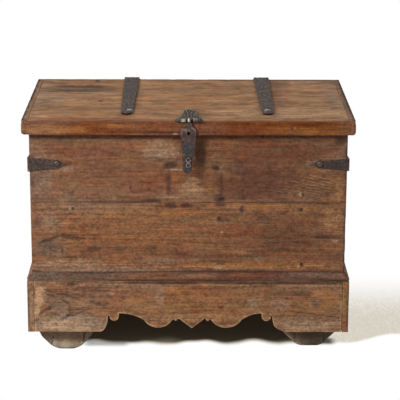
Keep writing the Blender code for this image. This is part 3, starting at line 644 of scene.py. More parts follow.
def wood(name, middle, grain, heart, sheen=0.2, gloss=0.64, contrast=1.0, coarse=1.0, drift=1.0, flecks=1.2,
         broad=1.0, reach=1.0, pale=None):
    """Old oiled wood: rings round a heart, streaks and pores along the grain, and the layers of age."""
    material, shader, place = new_finish(name + "_wood")
    palette = colours()
    salt = seed_of(name)
    axis = ALONG[grain]

    def streaks(long, wide, offset, detail=2.0, roughness=0.5):
        """Noise in cells of a length along the grain and a width across it."""
        cell = [long if i == axis else wide * coarse for i in range(3)]
        return place.noise(cell, salt + offset, detail, roughness)

    def blots(long, wide, offset, detail=3.0, roughness=0.6):
        return streaks(long, wide, offset, detail, roughness)

    # Figure of the grain
    sway = streaks(0.40, 0.060, 1)
    curl = streaks(0.08, 0.020, 2)
    across = [0.0 if i == axis else 1.0 for i in range(3)]
    from_heart = place.shifted([-v for v in heart]).times(across)
    radius = from_heart.node("ShaderNodeVectorMath", {"operation": "LENGTH"}, {0: from_heart}, 1)
    ring_place = radius * (105 / coarse) + sway * 5.0 + curl * 1.4
    rings = place.node("ShaderNodeTexNoise", {"noise_dimensions": "1D"}, {"W": ring_place, "Scale": 1.0,
                                                                         "Detail": 2.0, "Roughness": 0.6})
    fine = streaks(0.15, 0.0037, 3, 2.0, 0.6)
    hair = streaks(0.030, 0.0016, 4)
    band = streaks(0.14, 0.014, 5)
    mottle = blots(0.034 * reach, 0.018, 6)
    speckle = blots(0.0090 * reach, 0.0065, 7, 2.0, 0.65)
    dots = blots(0.0040 * reach, 0.0034, 13, 1.0)
    pores = streaks(0.018, 0.0012, 8, 1.0).ramp(0.60, 0.74)
    figure = (rings - 0.5) * 0.4 + (fine - 0.5) * 0.80 + (band - 0.5) * (0.5 * broad)
    patches = (mottle - 0.5) * (0.9 * broad) + (speckle - 0.5) * flecks
    shade = ((figure + patches) * contrast + 0.5).ramp(-0.1, 1.1)

    def grained(plain, depth=1.0):
        """A colour with the figure of the grain in it."""
        return shade.mix(opaque(plain, 1 - 0.58 * depth), opaque(plain, 1 + 0.62 * depth))

    # Drifts of colour, and the colours that the layers bring
    breakup = (fine - 0.5) * 0.8 + (speckle - 0.5) * 0.6 + (dots - 0.5) * 1.4
    rusty = blots(0.10, 0.020, 9).ramp(0.46, 0.74) * (0.45 * drift) + place.layer("red") * 0.8
    paint = rusty.mix(grained(middle), grained(palette.ember))
    golden = blots(0.12, 0.020, 10).ramp(0.48, 0.76) * 0.38 + place.layer("honey") * 0.8
    paint = golden.mix(paint, grained(palette.honey))
    faded = blots(0.055, 0.030, 11).ramp(0.48, 0.72)
    paint = (faded * (0.5 * drift)).mix(paint, grained(palette.olive))
    flecked = place.layer("dust") * (speckle * 1.2 + 0.3)
    paint = flecked.mix(paint, grained(palette.dust, 0.85))
    # Rubbed wood, and on the wheels painted light, turn pale
    worn_and_lit = (place.layer("wear_and_painted_light") + breakup * 0.6).ramp(0.12, 1.15)
    paint = worn_and_lit.mix(paint, grained(pale or palette.bare, 0.72))
    # Stains, pores and dirt, and the painted shade that the grime layer carries, turn dark
    smut = blots(0.055, 0.015, 12, 4.0, 0.62).ramp(0.54, 0.80)
    stained_and_shaded = smut * 0.15 + pores * 0.12 + place.layer("grime") * (fine * 0.6 + 0.65)
    paint = stained_and_shaded.mix(paint, grained(palette.grime))
    feed(shader, "Base Color", paint)

    feed(shader, "Roughness", gloss + (fine - 0.5) * 0.16 + flecked * 0.16 + stained_and_shaded * 0.10)
    height = fine * 0.40 + hair * 0.25 + rings * 0.20 + speckle * 0.20 - pores * 0.35 - stained_and_shaded * 0.25
    feed(shader, "Normal", height.node("ShaderNodeBump", None, {"Strength": 0.45, "Distance": 0.0011,
                                                               "Height": height}))
    shader.inputs["Specular IOR Level"].default_value = sheen
    return material


def iron(name, middle, rust=0.5, metal=0.35, gloss=0.56, shine=0.3, cell=(0.0070, 0.0070, 0.0070), flecks=0.4,
         grit=1.0):
    """Blackened hand-forged iron: scale, rust bloom, bright flecks and rubbed edges."""
    material, shader, place = new_finish(name + "_iron")
    salt = seed_of(name)
    scale = place.noise(cell, salt + 1, 4.0, 0.72)
    bloom = place.noise([4 * size for size in cell], salt + 2, 4.0, 0.6)
    beaten = place.noise([1.4 * size for size in cell], salt + 3, 1.0)
    paint = scale.ramp(0.36, 0.66).mix(opaque(middle, 1 - 0.66 * grit), opaque(middle, 1 + 0.5 * grit))
    for layer, tint in (("red", tone(86, 66, 63)), ("dust", tone(56, 57, 59))):
        scaly = scale.ramp(0.36, 0.66).mix(opaque(tint, 0.45), opaque(tint, 1.6))
        paint = (place.layer(layer) * 0.8).mix(paint, scaly)
    rusty = bloom.ramp(0.46, 0.74) * rust
    paint = rusty.mix(paint, opaque(tone(88, 62, 48)))
    # Rubbed iron, and the painted highlights on the tops of heads and beads and on the hasp's tongue, turn
    # bright
    rubbed = (place.layer("wear_and_painted_light") + (scale - 0.5) * 1.2).ramp(0.30, 0.95)
    paint = (rubbed * 0.7).mix(paint, opaque(middle, (3.6, 3.6, 3.5)))
    specks = place.noise([0.75 * size for size in cell], salt + 4, 1.0).ramp(0.60, 0.74)
    paint = (specks * flecks).mix(paint, opaque(middle, (3.2, 3.2, 3.2)))
    # Dirt, and the painted shade on the sides of heads and beads and on the hinge straps' tips, turns dark
    dirt_and_shade = (place.layer("grime") + (scale - 0.5) * 0.6).ramp(0.20, 0.90)
    paint = (dirt_and_shade * 0.85).mix(paint, opaque(colours().grime, 0.45))
    height = scale * 0.5 + beaten * 0.9 - dirt_and_shade * 0.3
    feed(shader, "Base Color", paint)
    feed(shader, "Metallic", metal - rusty * (0.5 * metal) - dirt_and_shade * (0.5 * metal))
    feed(shader, "Roughness", gloss + (scale - 0.5) * 0.25 + rusty * 0.2 - rubbed * 0.16)
    feed(shader, "Normal", height.node("ShaderNodeBump", None, {"Strength": 0.7, "Distance": 0.0011,
                                                               "Height": height}))
    shader.inputs["Specular IOR Level"].default_value = shine
    return material


# Planks

# Largest gap between the points of a plank
PLANK_STEP = 0.012
FRONT_STEP = 0.0031
WALL_STEP = 0.010
LID_STEP = 0.0065
SIDE_RIM_STEP = 0.0030
APRON_STEP = 0.0040
SIDE_APRON_STEP = 0.008
HIDDEN_STEP = 0.018

# Largest rounding of the edges that are less worn
FRONT_EDGE = 0.0012
LID_EDGE = 0.0006
SIDE_RIM_EDGE = 0.0005
END_EDGE = 0.0013

# The heart of the tree lay this far from the middle of a plank
HEART_OFFSET = Vector((0.03, 0.11, -0.17))

# Woods that were never oiled
INNER_LOOK = {"sheen": 0.25, "gloss": 0.72}
GEAR_LOOK = {"sheen": 0.2, "gloss": 0.74}


def plank(node, body, slot, middle, grain, marks=(), facing=FRONT, step=PLANK_STEP, edge=None, corner=0.0,
          focus=((), (), ()), carve=None, rubbed=1.0, **look):
    """A worn plank in the place of a solid."""
    low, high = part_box(node)
    skin = worn_box("old_" + node, low, high, edge or sizes().plank_edge, step, focus, corner, carve)
    skin.weather(grain, rubbed)
    skin.paint(marks, facing)
    finish = wood(node, middle, grain, (low + high) / 2 + HEART_OFFSET, **look)
    return settle(skin.finish(), body, slot, finish, node)


# The lock plate that once sat under the hasp left two grooves and four nail marks
GHOST_LEFT = -0.0590
GHOST_RIGHT = 0.1005
GHOST_HEIGHT = 0.540
GHOST_SPAN = 0.038
GROOVE = 0.0070
GROOVE_DEPTH = 0.0008

FAN_LINES = 8
FAN_GAP = 0.0033


def fan_marks():
    """Pale and dark lines of sloping grain that fan out towards the right."""
    for i in range(FAN_LINES):
        across, up = 0.408 - 0.014 * i, 0.560 - 2 * FAN_GAP * i
        half, slant = 0.066 + 0.010 * i, -0.24 + 0.014 * i
        yield Mark("wear_and_painted_light", across, up, half, 0.0017, 0.52, 0.0, slant, 0.25)
        yield Mark("grime", across, up - FAN_GAP, half, 0.0016, 0.34, 0.0003, slant, 0.25)


UPPER_MARKS = (
    *fan_marks(),
    # Painted shadow of the lid's rim: a dark reddish band along the top of the wall
    Mark("grime", 0.0, 0.692, 0.9, 0.0085, 0.55, ragged=0.2),
    Mark("red", 0.0, 0.692, 0.9, 0.0095, 0.8, ragged=0.2),
    # Painted shadow of the hasp's strap on the wall to its right, partly a stain
    Mark("grime", 0.036, 0.6387, 0.017, 0.04, 0.66, ragged=0.5),
    Mark("dust", 0.09, 0.5887, 0.012, 0.009, 0.45),
    Mark("dust", -0.459, 0.623, 0.015, 0.0025, 0.75),
    Mark("dust", -0.43, 0.6191, 0.015, 0.0022, 0.5),
    Mark("dust", -0.402, 0.5818, 0.024, 0.0022, 0.5),
    Mark("dust", 0.378, 0.6112, 0.005, 0.0028, 0.7),
    Mark("dust", 0.386, 0.6166, 0.005, 0.0025, 0.7),
    Mark("dust", 0.369, 0.5966, 0.011, 0.0019, 0.55),
    Mark("dust", 0.418, 0.5855, 0.023, 0.0022, 0.6),
    Mark("dust", 0.441, 0.6213, 0.033, 0.0025, 0.5),
    Mark("wear_and_painted_light", 0.336, 0.5099, 0.01, 0.007, 0.55),
    Mark("grime", 0.344, 0.5094, 0.0045, 0.0045, 0.8),
    Mark("dust", -0.24, 0.6775, 0.23, 0.0028, 0.6),
    Mark("grime", 0.458, 0.6766, 0.022, 0.014, 0.65),
    Mark("grime", -0.463, 0.6834, 0.02, 0.008, 0.45),
    Mark("wear_and_painted_light", -0.085, 0.6434, 0.052, 0.03, 0.4),
    Mark("dust", -0.085, 0.6404, 0.052, 0.034, 0.4),
    Mark("honey", -0.109, 0.6623, 0.07, 0.016, 0.42),
    Mark("honey", -0.257, 0.6679, 0.11, 0.01, 0.35),
    Mark("grime", -0.356, 0.6547, 0.12, 0.022, 0.18),
    Mark("wear_and_painted_light", 0.009, 0.53, 0.034, 0.036, 0.54),
    Mark("honey", 0.063, 0.5271, 0.022, 0.022, 0.6),
    Mark("honey", -0.036, 0.5602, 0.014, 0.02, 0.55),
    Mark("red", -0.046, 0.5501, 0.012, 0.026, 0.6),
    Mark("dust", -0.037, 0.5864, 0.026, 0.0024, 1.0),
    Mark("wear_and_painted_light", -0.037, 0.5864, 0.022, 0.002, 0.7),
    Mark("grime", GHOST_LEFT, GHOST_HEIGHT, GROOVE, GHOST_SPAN, 0.58, GROOVE_DEPTH),
    Mark("grime", GHOST_RIGHT, GHOST_HEIGHT, GROOVE, GHOST_SPAN, 0.62, GROOVE_DEPTH),
    Mark("wear_and_painted_light", GHOST_LEFT + 0.0115, GHOST_HEIGHT, 0.0022, GHOST_SPAN, 0.45),
    Mark("red", GHOST_RIGHT + 0.012, GHOST_HEIGHT - 0.01, 0.02, GHOST_SPAN, 0.45),
    Mark("grime", -0.057, 0.6004, 0.018, 0.011, 0.72),
    Mark("grime", -0.062, 0.6024, 0.01, 0.006, 0.85, 0.0008),
    Mark("grime", 0.086, 0.5886, 0.014, 0.01, 0.5),
    Mark("grime", 0.085, 0.588, 0.01, 0.008, 1.0, 0.001),
    Mark("grime", 0.095, 0.492, 0.019, 0.018, 0.74),
    Mark("grime", 0.1, 0.495, 0.01, 0.009, 1.0, 0.0015),
    Mark("grime", 0.158, 0.5878, 0.056, 0.013, 0.52),
    Mark("dust", 0.14, 0.5878, 0.026, 0.006, 0.35),
    Mark("grime", 0.217, 0.5779, 0.05, 0.006, 0.34),
    Mark("grime", 0.165, 0.5222, 0.007, 0.007, 0.75, 0.001),
    Mark("grime", 0.168, 0.4999, 0.01, 0.01, 0.62, 0.001),
    Mark("grime", 0.213, 0.5405, 0.12, 0.044, 0.5),
    Mark("red", 0.213, 0.5405, 0.11, 0.04, 0.4),
    Mark("grime", 0.419, 0.5076, 0.012, 0.007, 0.55),
    Mark("wear_and_painted_light", 0.459, 0.5107, 0.014, 0.04, 0.4),
    Mark("honey", 0.452, 0.5005, 0.024, 0.05, 0.4),
    # The wall is darker along its right edge
    Mark("grime", 0.4775, 0.6, 0.003, 0.11, 0.95),
    Mark("dust", -0.445, 0.5391, 0.036, 0.042, 0.48),
    Mark("wear_and_painted_light", -0.437, 0.529, 0.03, 0.03, 0.22),
    Mark("grime", -0.442, 0.5391, 0.036, 0.04, 0.22),
    Mark("grime", -0.472, 0.55, 0.01, 0.03, 0.4),
    Mark("wear_and_painted_light", -0.376, 0.511, 0.009, 0.007, 0.6),
    Mark("grime", -0.376, 0.511, 0.0045, 0.0035, 0.95, 0.001),
    Mark("grime", -0.354, 0.511, 0.01, 0.008, 0.45),
    Mark("red", -0.4, 0.5018, 0.018, 0.007, 0.75),
    Mark("grime", -0.175, 0.5296, 0.005, 0.004, 0.7),
    Mark("red", -0.326, 0.6398, 0.12, 0.016, 0.38),
    Mark("red", -0.12, 0.555, 0.06, 0.028, 0.4),
    Mark("red", 0.236, 0.6491, 0.16, 0.03, 0.55),
    Mark("grime", 0.25, 0.64, 0.17, 0.036, 0.32),
    Mark("red", 0.188, 0.498, 0.07, 0.0045, 0.9),
    Mark("honey", 0.117, 0.6508, 0.08, 0.02, 0.3),
    Mark("dust", -0.435, 0.6286, 0.034, 0.004, 0.6),
    Mark("wear_and_painted_light", -0.411, 0.5785, 0.05, 0.0035, 0.28),
    Mark("dust", -0.368, 0.5875, 0.02, 0.006, 0.5),
    Mark("wear_and_painted_light", 0.424, 0.6285, 0.05, 0.0035, 0.4),
    Mark("wear_and_painted_light", 0.415, 0.5843, 0.05, 0.0035, 0.45),
    Mark("wear_and_painted_light", 0.363, 0.6073, 0.01, 0.01, 0.55),
    Mark("wear_and_painted_light", -0.075, 0.4994, 0.06, 0.0026, 0.55),
    Mark("grime", -0.23, 0.4865, 0.11, 0.0022, 0.7),
    Mark("grime", -0.11, 0.488, 0.03, 0.0045, 0.8),
    Mark("grime", 0.28, 0.486, 0.18, 0.0018, 0.45),
)

LOWER_MARKS = (
    Mark("honey", -0.2, 0.405, 0.3, 0.08, 0.32),
    Mark("wear_and_painted_light", -0.15, 0.4, 0.3, 0.08, 0.14),
    Mark("wear_and_painted_light", -0.355, 0.4623, 0.011, 0.009, 0.6),
    Mark("grime", -0.349, 0.4623, 0.004, 0.005, 0.8),
    Mark("grime", -0.23, 0.4815, 0.11, 0.0018, 0.55),
    Mark("grime", 0.28, 0.4815, 0.18, 0.0016, 0.35),
    Mark("grime", -0.055, 0.4741, 0.019, 0.009, 0.8, 0.0014),
    Mark("grime", -0.004, 0.4742, 0.018, 0.007, 0.8, 0.001),
    Mark("grime", 0.163, 0.4603, 0.008, 0.014, 0.75, 0.001),
    Mark("grime", 0.097, 0.4774, 0.017, 0.007, 0.72),
    Mark("dust", -0.425, 0.4223, 0.048, 0.032, 0.4),
    Mark("grime", -0.458, 0.4207, 0.014, 0.018, 0.4),
    Mark("grime", -0.428, 0.3634, 0.036, 0.006, 0.8, 0.0014, 0.385, 1.4),
    Mark("grime", -0.365, 0.3733, 0.036, 0.0055, 0.66, 0.0012, -0.13, 1.4),
    Mark("grime", -0.431, 0.3433, 0.046, 0.026, 0.5),
    Mark("dust", -0.426, 0.3412, 0.05, 0.032, 0.45),
    Mark("grime", 0.341, 0.4617, 0.008, 0.0055, 0.75),
    Mark("grime", 0.348, 0.2827, 0.007, 0.005, 0.65),
    Mark("honey", -0.386, 0.3557, 0.008, 0.009, 0.95),
    Mark("grime", -0.385, 0.331, 0.0024, 0.011, 0.8),
    Mark("red", -0.321, 0.3995, 0.011, 0.019, 0.7),
    Mark("grime", -0.321, 0.3949, 0.008, 0.012, 0.4),
    Mark("grime", -0.291, 0.3363, 0.024, 0.009, 0.52),
    Mark("grime", -0.214, 0.3334, 0.022, 0.006, 0.58),
    Mark("grime", -0.118, 0.3356, 0.02, 0.018, 0.32),
    Mark("grime", -0.038, 0.3327, 0.0024, 0.007, 0.8),
    Mark("grime", -0.02, 0.3203, 0.018, 0.006, 0.5),
    Mark("honey", -0.264, 0.4431, 0.08, 0.018, 0.55),
    Mark("honey", -0.057, 0.4496, 0.03, 0.012, 0.55),
    Mark("dust", -0.011, 0.4283, 0.024, 0.008, 0.28),
    Mark("honey", 0.24, 0.468, 0.2, 0.01, 0.7),
    Mark("grime", 0.094, 0.4331, 0.006, 0.0045, 0.9),
    Mark("grime", 0.111, 0.4285, 0.018, 0.005, 0.55),
    Mark("dust", 0.095, 0.4188, 0.036, 0.0035, 0.5),
    Mark("grime", 0.294, 0.4524, 0.013, 0.003, 0.65, 0.0, 0.45),
    Mark("grime", 0.231, 0.4318, 0.028, 0.01, 0.55),
    Mark("dust", 0.227, 0.4277, 0.024, 0.006, 0.45),
    Mark("wear_and_painted_light", 0.102, 0.3901, 0.004, 0.004, 0.95),
    Mark("grime", 0.428, 0.3743, 0.05, 0.0065, 0.66),
    Mark("wear_and_painted_light", 0.446, 0.362, 0.01, 0.005, 0.6),
    Mark("honey", 0.439, 0.4241, 0.032, 0.034, 0.55),
    Mark("wear_and_painted_light", 0.439, 0.4241, 0.034, 0.044, 0.4),
    Mark("red", 0.363, 0.352, 0.01, 0.014, 0.65),
    Mark("red", 0.247, 0.3659, 0.022, 0.003, 0.8, 0.0, 0.35),
    Mark("grime", 0.242, 0.3514, 0.02, 0.0026, 0.45, 0.0, -0.35),
    Mark("grime", 0.29, 0.3622, 0.08, 0.04, 0.28),
    Mark("red", 0.14, 0.3927, 0.07, 0.02, 0.4),
    Mark("wear_and_painted_light", 0.16, 0.3279, 0.018, 0.01, 0.45),
    Mark("wear_and_painted_light", -0.362, 0.2855, 0.13, 0.016, 0.42),
    Mark("dust", -0.362, 0.2834, 0.13, 0.016, 0.4),
    Mark("honey", -0.302, 0.2877, 0.15, 0.018, 0.3),
    Mark("dust", -0.059, 0.2985, 0.078, 0.01, 0.26),
    Mark("wear_and_painted_light", -0.121, 0.2797, 0.12, 0.01, 0.36),
    Mark("honey", 0.22, 0.284, 0.24, 0.011, 0.8),
    Mark("grime", 0.088, 0.2962, 0.042, 0.003, 0.55),
    Mark("grime", 0.1, 0.2895, 0.012, 0.005, 0.5),
    Mark("wear_and_painted_light", 0.092, 0.276, 0.017, 0.007, 0.62),
    Mark("dust", 0.219, 0.3022, 0.014, 0.008, 0.32),
    Mark("wear_and_painted_light", 0.339, 0.2806, 0.007, 0.004, 0.85),
    Mark("wear_and_painted_light", 0.39, 0.2833, 0.034, 0.0018, 0.62),
    # Painted shade, with dirt, in the crease along the top of the moulding
    Mark("grime", 0.16, 0.2645, 0.31, 0.0026, 0.9, ragged=0.4),
    Mark("grime", -0.465, 0.2645, 0.014, 0.003, 0.8),
    Mark("wear_and_painted_light", -0.35, 0.276, 0.14, 0.008, 0.36),
    Mark("dust", -0.24, 0.267, 0.23, 0.0034, 0.8),
    Mark("wear_and_painted_light", 0.1, 0.277, 0.38, 0.006, 0.34),
    # The wall is darker along its right edge
    Mark("grime", 0.4775, 0.37, 0.003, 0.11, 0.95),
)


class CHEST_OT_front_wall(Operator):
    """Dress the two planks of the front wall, with the mark of a lost lock plate"""

    bl_idname = "chest.front_wall"
    bl_label = "Front Wall"

    def execute(self, context):
        plank("front_upper_plank", "chest", "body_wood", colours().body, "x", UPPER_MARKS, FRONT, FRONT_STEP,
              FRONT_EDGE, rubbed=0.15, contrast=0.86, drift=0.85)
        plank("front_lower_plank", "chest", "body_wood", colours().body, "x", LOWER_MARKS, FRONT, FRONT_STEP,
              FRONT_EDGE, rubbed=0.15)
        return {"FINISHED"}


class CHEST_OT_side_and_back_walls(Operator):
    """Dress the planks of the sides and the back"""

    bl_idname = "chest.side_and_back_walls"
    bl_label = "Side and Back Walls"

    def execute(self, context):
        for side, grain in (("left", "y"), ("right", "y"), ("back", "x")):
            for height in ("lower", "upper"):
                plank(side + "_" + height + "_plank", "chest", "body_wood", colours().body, grain,
                      step=WALL_STEP)
        return {"FINISHED"}


class CHEST_OT_bottom_and_cleats(Operator):
    """Dress the bottom boards and the cleats inside the front"""

    bl_idname = "chest.bottom_and_cleats"
    bl_label = "Bottom and Cleats"

    def execute(self, context):
        boards = sorted(node for node in frame["nodes"] if node.startswith("bottom_board_"))
        for node in boards:
            plank(node, "chest", "inner_wood", colours().inner, "x", step=HIDDEN_STEP, **INNER_LOOK)
        for side in SIDES:
            plank("front_cleat_" + side, "chest", "inner_wood", colours().inner, "z", step=HIDDEN_STEP,
                  **INNER_LOOK)
        return {"FINISHED"}


# A groove sets off a bead along the apron's upper edge
APRON_GROOVE = 0.2320
APRON_BEAD = 0.2262
BEAD_LINES = (-0.0018, 0.0, 0.0018)
GROOVE_LINES = (-0.0034, -0.0016, 0.0, 0.0016)
REBATE_LINES = (-0.0004, 0.0004)
APRON_WEAR_REACH = 0.0048
APRON_WEAR_TOP = REBATE - 0.01
APRON_HEART = (-0.1, -0.2, -0.05)

APRON_MARKS = (
    # Painted shade, with dirt, in the groove under the moulding
    Mark("grime", -0.06, APRON_GROOVE, 0.17, 0.0052, 0.88, 0.0012, 0.0, 0.7),
    Mark("grime", 0.25, APRON_GROOVE, 0.32, 0.0052, 0.88, 0.0012, 0.0, 0.7),
    Mark("grime", -0.3, APRON_GROOVE, 0.12, 0.0034, 0.5, 0.0004, -0.02, 0.7),
    Mark("wear_and_painted_light", 0.000, APRON_BEAD - 0.002, 0.9, 0.0017, 0.42, ragged=1.2),
    Mark("wear_and_painted_light", -0.456, 0.204, 0.015, 0.018, 1.0, ragged=0.2),
    Mark("wear_and_painted_light", -0.456, 0.176, 0.014, 0.026, 1.0, ragged=0.2),
    Mark("wear_and_painted_light", -0.463, 0.145, 0.008, 0.026, 0.8, ragged=0.4),
    Mark("dust", -0.44, 0.194, 0.006, 0.024, 0.75, ragged=0.5),
    Mark("dust", -0.394, 0.155, 0.04, 0.036, 0.62),
    Mark("grime", -0.4, 0.165, 0.04, 0.03, 0.25),
    Mark("grime", -0.44, 0.142, 0.024, 0.0036, 1.0, 0.0016, 0.77),
    Mark("grime", -0.424, 0.147, 0.013, 0.0034, 1.0, 0.0016, 0.6),
    Mark("grime", -0.361, 0.2258, 0.011, 0.006, 0.75),
    Mark("grime", -0.376, 0.19, 0.034, 0.0036, 0.62, 0.0008, -0.26),
    Mark("grime", -0.27, 0.166, 0.03, 0.008, 0.45),
    Mark("grime", -0.372, 0.124, 0.016, 0.0036, 0.85, 0.0012, 0.58),
    Mark("grime", -0.405, 0.128, 0.012, 0.0034, 0.6, 0.001, -0.4),
    Mark("grime", -0.29, 0.215, 0.07, 0.003, 0.5, 0.0, 0.03),
    Mark("wear_and_painted_light", -0.33, 0.196, 0.06, 0.0028, 0.34),
    Mark("grime", -0.4155, 0.189, 0.02, 0.003, 0.7, 0.001, -0.21),
    Mark("grime", -0.381, 0.1733, 0.018, 0.0034, 0.72, 0.001, -0.72),
    Mark("grime", -0.364, 0.148, 0.0028, 0.015, 0.7, 0.001),
    Mark("wear_and_painted_light", -0.373, 0.148, 0.003, 0.014, 0.4),
    Mark("grime", -0.3425, 0.1307, 0.046, 0.003, 0.62, 0.001, 0.4),
    Mark("wear_and_painted_light", -0.3425, 0.125, 0.046, 0.0026, 0.42, 0.0, 0.4),
    Mark("grime", -0.33, 0.148, 0.034, 0.0026, 0.52, 0.0008, 0.25),
    Mark("grime", -0.345, 0.188, 0.08, 0.008, 0.4),
    Mark("dust", -0.33, 0.182, 0.09, 0.04, 0.3),
    Mark("grime", -0.3, 0.206, 0.06, 0.004, 0.4),
    Mark("red", -0.3, 0.203, 0.15, 0.018, 0.55),
    Mark("red", -0.24, 0.17, 0.07, 0.018, 0.45),
    Mark("wear_and_painted_light", -0.239, 0.199, 0.024, 0.005, 0.5),
    Mark("dust", -0.089, 0.186, 0.014, 0.034, 0.45, ragged=0.6),
    Mark("honey", -0.03, 0.21, 0.042, 0.014, 0.7),
    Mark("red", -0.057, 0.192, 0.01, 0.012, 0.75),
    Mark("red", -0.231, 0.14, 0.014, 0.014, 0.8),
    Mark("honey", -0.15, 0.17, 0.05, 0.02, 0.5),
    Mark("dust", -0.365, 0.098, 0.12, 0.032, 1.0, ragged=0.6),
    Mark("wear_and_painted_light", -0.37, 0.094, 0.1, 0.02, 0.56),
    Mark("grime", 0.344, 0.198, 0.046, 0.0065, 0.52),
    Mark("grime", 0.366, 0.19, 0.012, 0.006, 0.5),
    Mark("dust", 0.2, 0.166, 0.022, 0.018, 0.55),
    Mark("dust", 0.278, 0.16, 0.03, 0.02, 0.45),
    Mark("grime", 0.391, 0.165, 0.012, 0.011, 0.5, ragged=0.6),
    Mark("dust", 0.386, 0.168, 0.016, 0.014, 0.65, ragged=0.6),
    Mark("honey", 0.412, 0.178, 0.06, 0.034, 0.75),
    Mark("honey", 0.000, 0.16, 0.34, 0.05, 0.28),
    Mark("grime", 0.396, 0.129, 0.078, 0.002, 0.8, 0.0008, -0.13, 0.5),
    Mark("dust", 0.365, 0.096, 0.11, 0.026, 0.5, ragged=0.6),
    Mark("wear_and_painted_light", 0.365, 0.094, 0.1, 0.018, 0.52),
    Mark("red", 0.04, 0.204, 0.07, 0.012, 0.6),
    Mark("red", 0.098, 0.152, 0.012, 0.012, 0.75),
    Mark("red", 0.02, 0.145, 0.016, 0.016, 0.6),
    Mark("grime", 0.1, 0.15, 0.01, 0.006, 0.4),
    Mark("wear_and_painted_light", 0.000, 0.118, 0.2, 0.022, 0.32),
)


# The scallop was cut by eye: its right part lies further out, and the right foot lost its inner corner
RIGHT_PART = (0.10, 0.19, 0.27, 0.38)
RIGHT_SHIFT = 0.0090
FOOT_CORNER = 0.268
LEFT_CUT = -0.002
RIGHT_CUT = 0.020
CUT_REACH = 0.020
CORNER_TOP = 0.095


def handmade(across, up):
    """How far a point of the apron lies to the right of where a ruler would put it."""
    start, full, still, end = RIGHT_PART
    rise = ramp(across, start, full)
    fall = np.clip((end - across) / (end - still), 0.0, 1.0)
    low = np.clip((CORNER_TOP - up) / (CORNER_TOP - APRON_FOOT), 0.0, 1.0)
    near = fade(np.abs(across) - FOOT_CORNER, CUT_REACH)
    cut = np.where(across > 0, RIGHT_CUT, -LEFT_CUT)
    return RIGHT_SHIFT * np.minimum(rise, fall) + cut * low ** 2 * near


class CHEST_OT_front_apron(Operator):
    """Dress the scalloped apron under the front"""

    bl_idname = "chest.front_apron"
    bl_label = "Front Apron"

    def execute(self, context):
        low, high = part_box("front_apron")
        loops, level = face_loops("front_apron", FRONT)
        heights = ((REBATE, REBATE_LINES), (APRON_BEAD, BEAD_LINES), (APRON_GROOVE, GROOVE_LINES))
        fine_lines = [height + shift for height, shifts in heights for shift in shifts]
        skin = slab("old_front_apron", loops, high.y - low.y, sizes().apron_edge, APRON_STEP, FRONT, level,
                    ((), fine_lines))
        above = (skin.points[:, 2] > REBATE) & (skin.points[:, 1] > WALL_SIDE)
        skin.points[above, 1] = WALL_SIDE
        skin.points[:, 0] += handmade(skin.points[:, 0], skin.points[:, 2])
        skin.weather("x", 0.6)
        skin.raise_layer("wear_and_painted_light", fade(skin.rim, APRON_WEAR_REACH) * (skin.points[:, 2] < APRON_WEAR_TOP))
        skin.paint(APRON_MARKS, FRONT)
        finish = wood("front_apron", colours().plinth, "x", APRON_HEART, contrast=1.1)
        settle(skin.finish(), "chest", "plinth_wood", finish, "front_apron")
        return {"FINISHED"}


# Marks on the front ends of the side aprons
END_MARKS = (
    Mark("wear_and_painted_light", -0.486, 0.15, 0.008, 0.08, 0.22, ragged=0.5),
    Mark("dust", -0.484, 0.15, 0.012, 0.09, 0.4),
    Mark("grime", -0.4925, 0.15, 0.0018, 0.085, 0.55),
    Mark("honey", 0.484, 0.175, 0.01, 0.07, 0.9, ragged=0.5),
    Mark("grime", 0.4925, 0.15, 0.002, 0.085, 0.7),
)


# Corners of the block let into the right apron's front end, from that end's outer foot
BLOCK_LOW = (-0.0165, -0.0010, 0.004)
BLOCK_HIGH = (-0.0030, 0.0060, 0.035)
BLOCK_EDGE = 0.0015
BLOCK_STEP = 0.004
BLOCK_HEART = (0.4, -0.2, 0.0)


def rebate_cut(sign):
    """Cuts the upper inner edge of a side apron back to the wall that it passes."""
    inside = BODY_HALF + FIT_GAP

    def cut(points):
        above = (points[:, 2] > REBATE) & (points[:, 0] * sign < inside) & (points[:, 1] > WALL_SIDE)
        points[above, 0] = sign * inside
        return points

    return cut


class CHEST_OT_plinth_boards(Operator):
    """Dress the side and back aprons, and the small block let into the right one's end"""

    bl_idname = "chest.plinth_boards"
    bl_label = "Plinth Boards"

    def execute(self, context):
        focus = ((), *([place + shift for shift in REBATE_LINES] for place in (WALL_SIDE, REBATE)))
        for side, (sign, _) in SIDES.items():
            plank(side + "_apron", "chest", "plinth_wood", colours().plinth, "y", END_MARKS, FRONT,
                  SIDE_APRON_STEP, END_EDGE, focus=focus, carve=rebate_cut(sign), rubbed=0.8)
        plank("back_apron", "chest", "plinth_wood", colours().plinth, "x", facing=BACK, step=PLANK_STEP)

        foot = Vector((PLINTH_HALF, APRON_FACE, APRON_FOOT))
        low, high = (foot + Vector(corner) for corner in (BLOCK_LOW, BLOCK_HIGH))
        skin = worn_box("repair_block", low, high, BLOCK_EDGE, BLOCK_STEP)
        skin.weather("z")
        skin.raise_layer("red", np.full(len(skin.points), 0.9))
        skin.raise_layer("grime", 0.9 * ramp(skin.points[:, 2], high.z - 0.004, high.z - 0.001))
        finish = wood("repair_block", colours().ember, "z", BLOCK_HEART)
        settle(skin.finish(), "chest", "plinth_wood", finish)
        return {"FINISHED"}


# Points of the moulding's foot and nose, as behind its front and up
MOULDING_FOOT = ((0.0012, 0.0), (0.0016, 0.0025), (0.0014, 0.0050))
MOULDING_NOSE = ((0.0008, 0.0068), (0.0, 0.0090), (0.0006, 0.0110), (0.0022, 0.0124))
SLOPE_STEPS = 6
SLOPE_SAG = 0.0014
MOULDING_STEP = 0.006
POINT_SPACING = 0.003
NOSE_RIM = 0.001

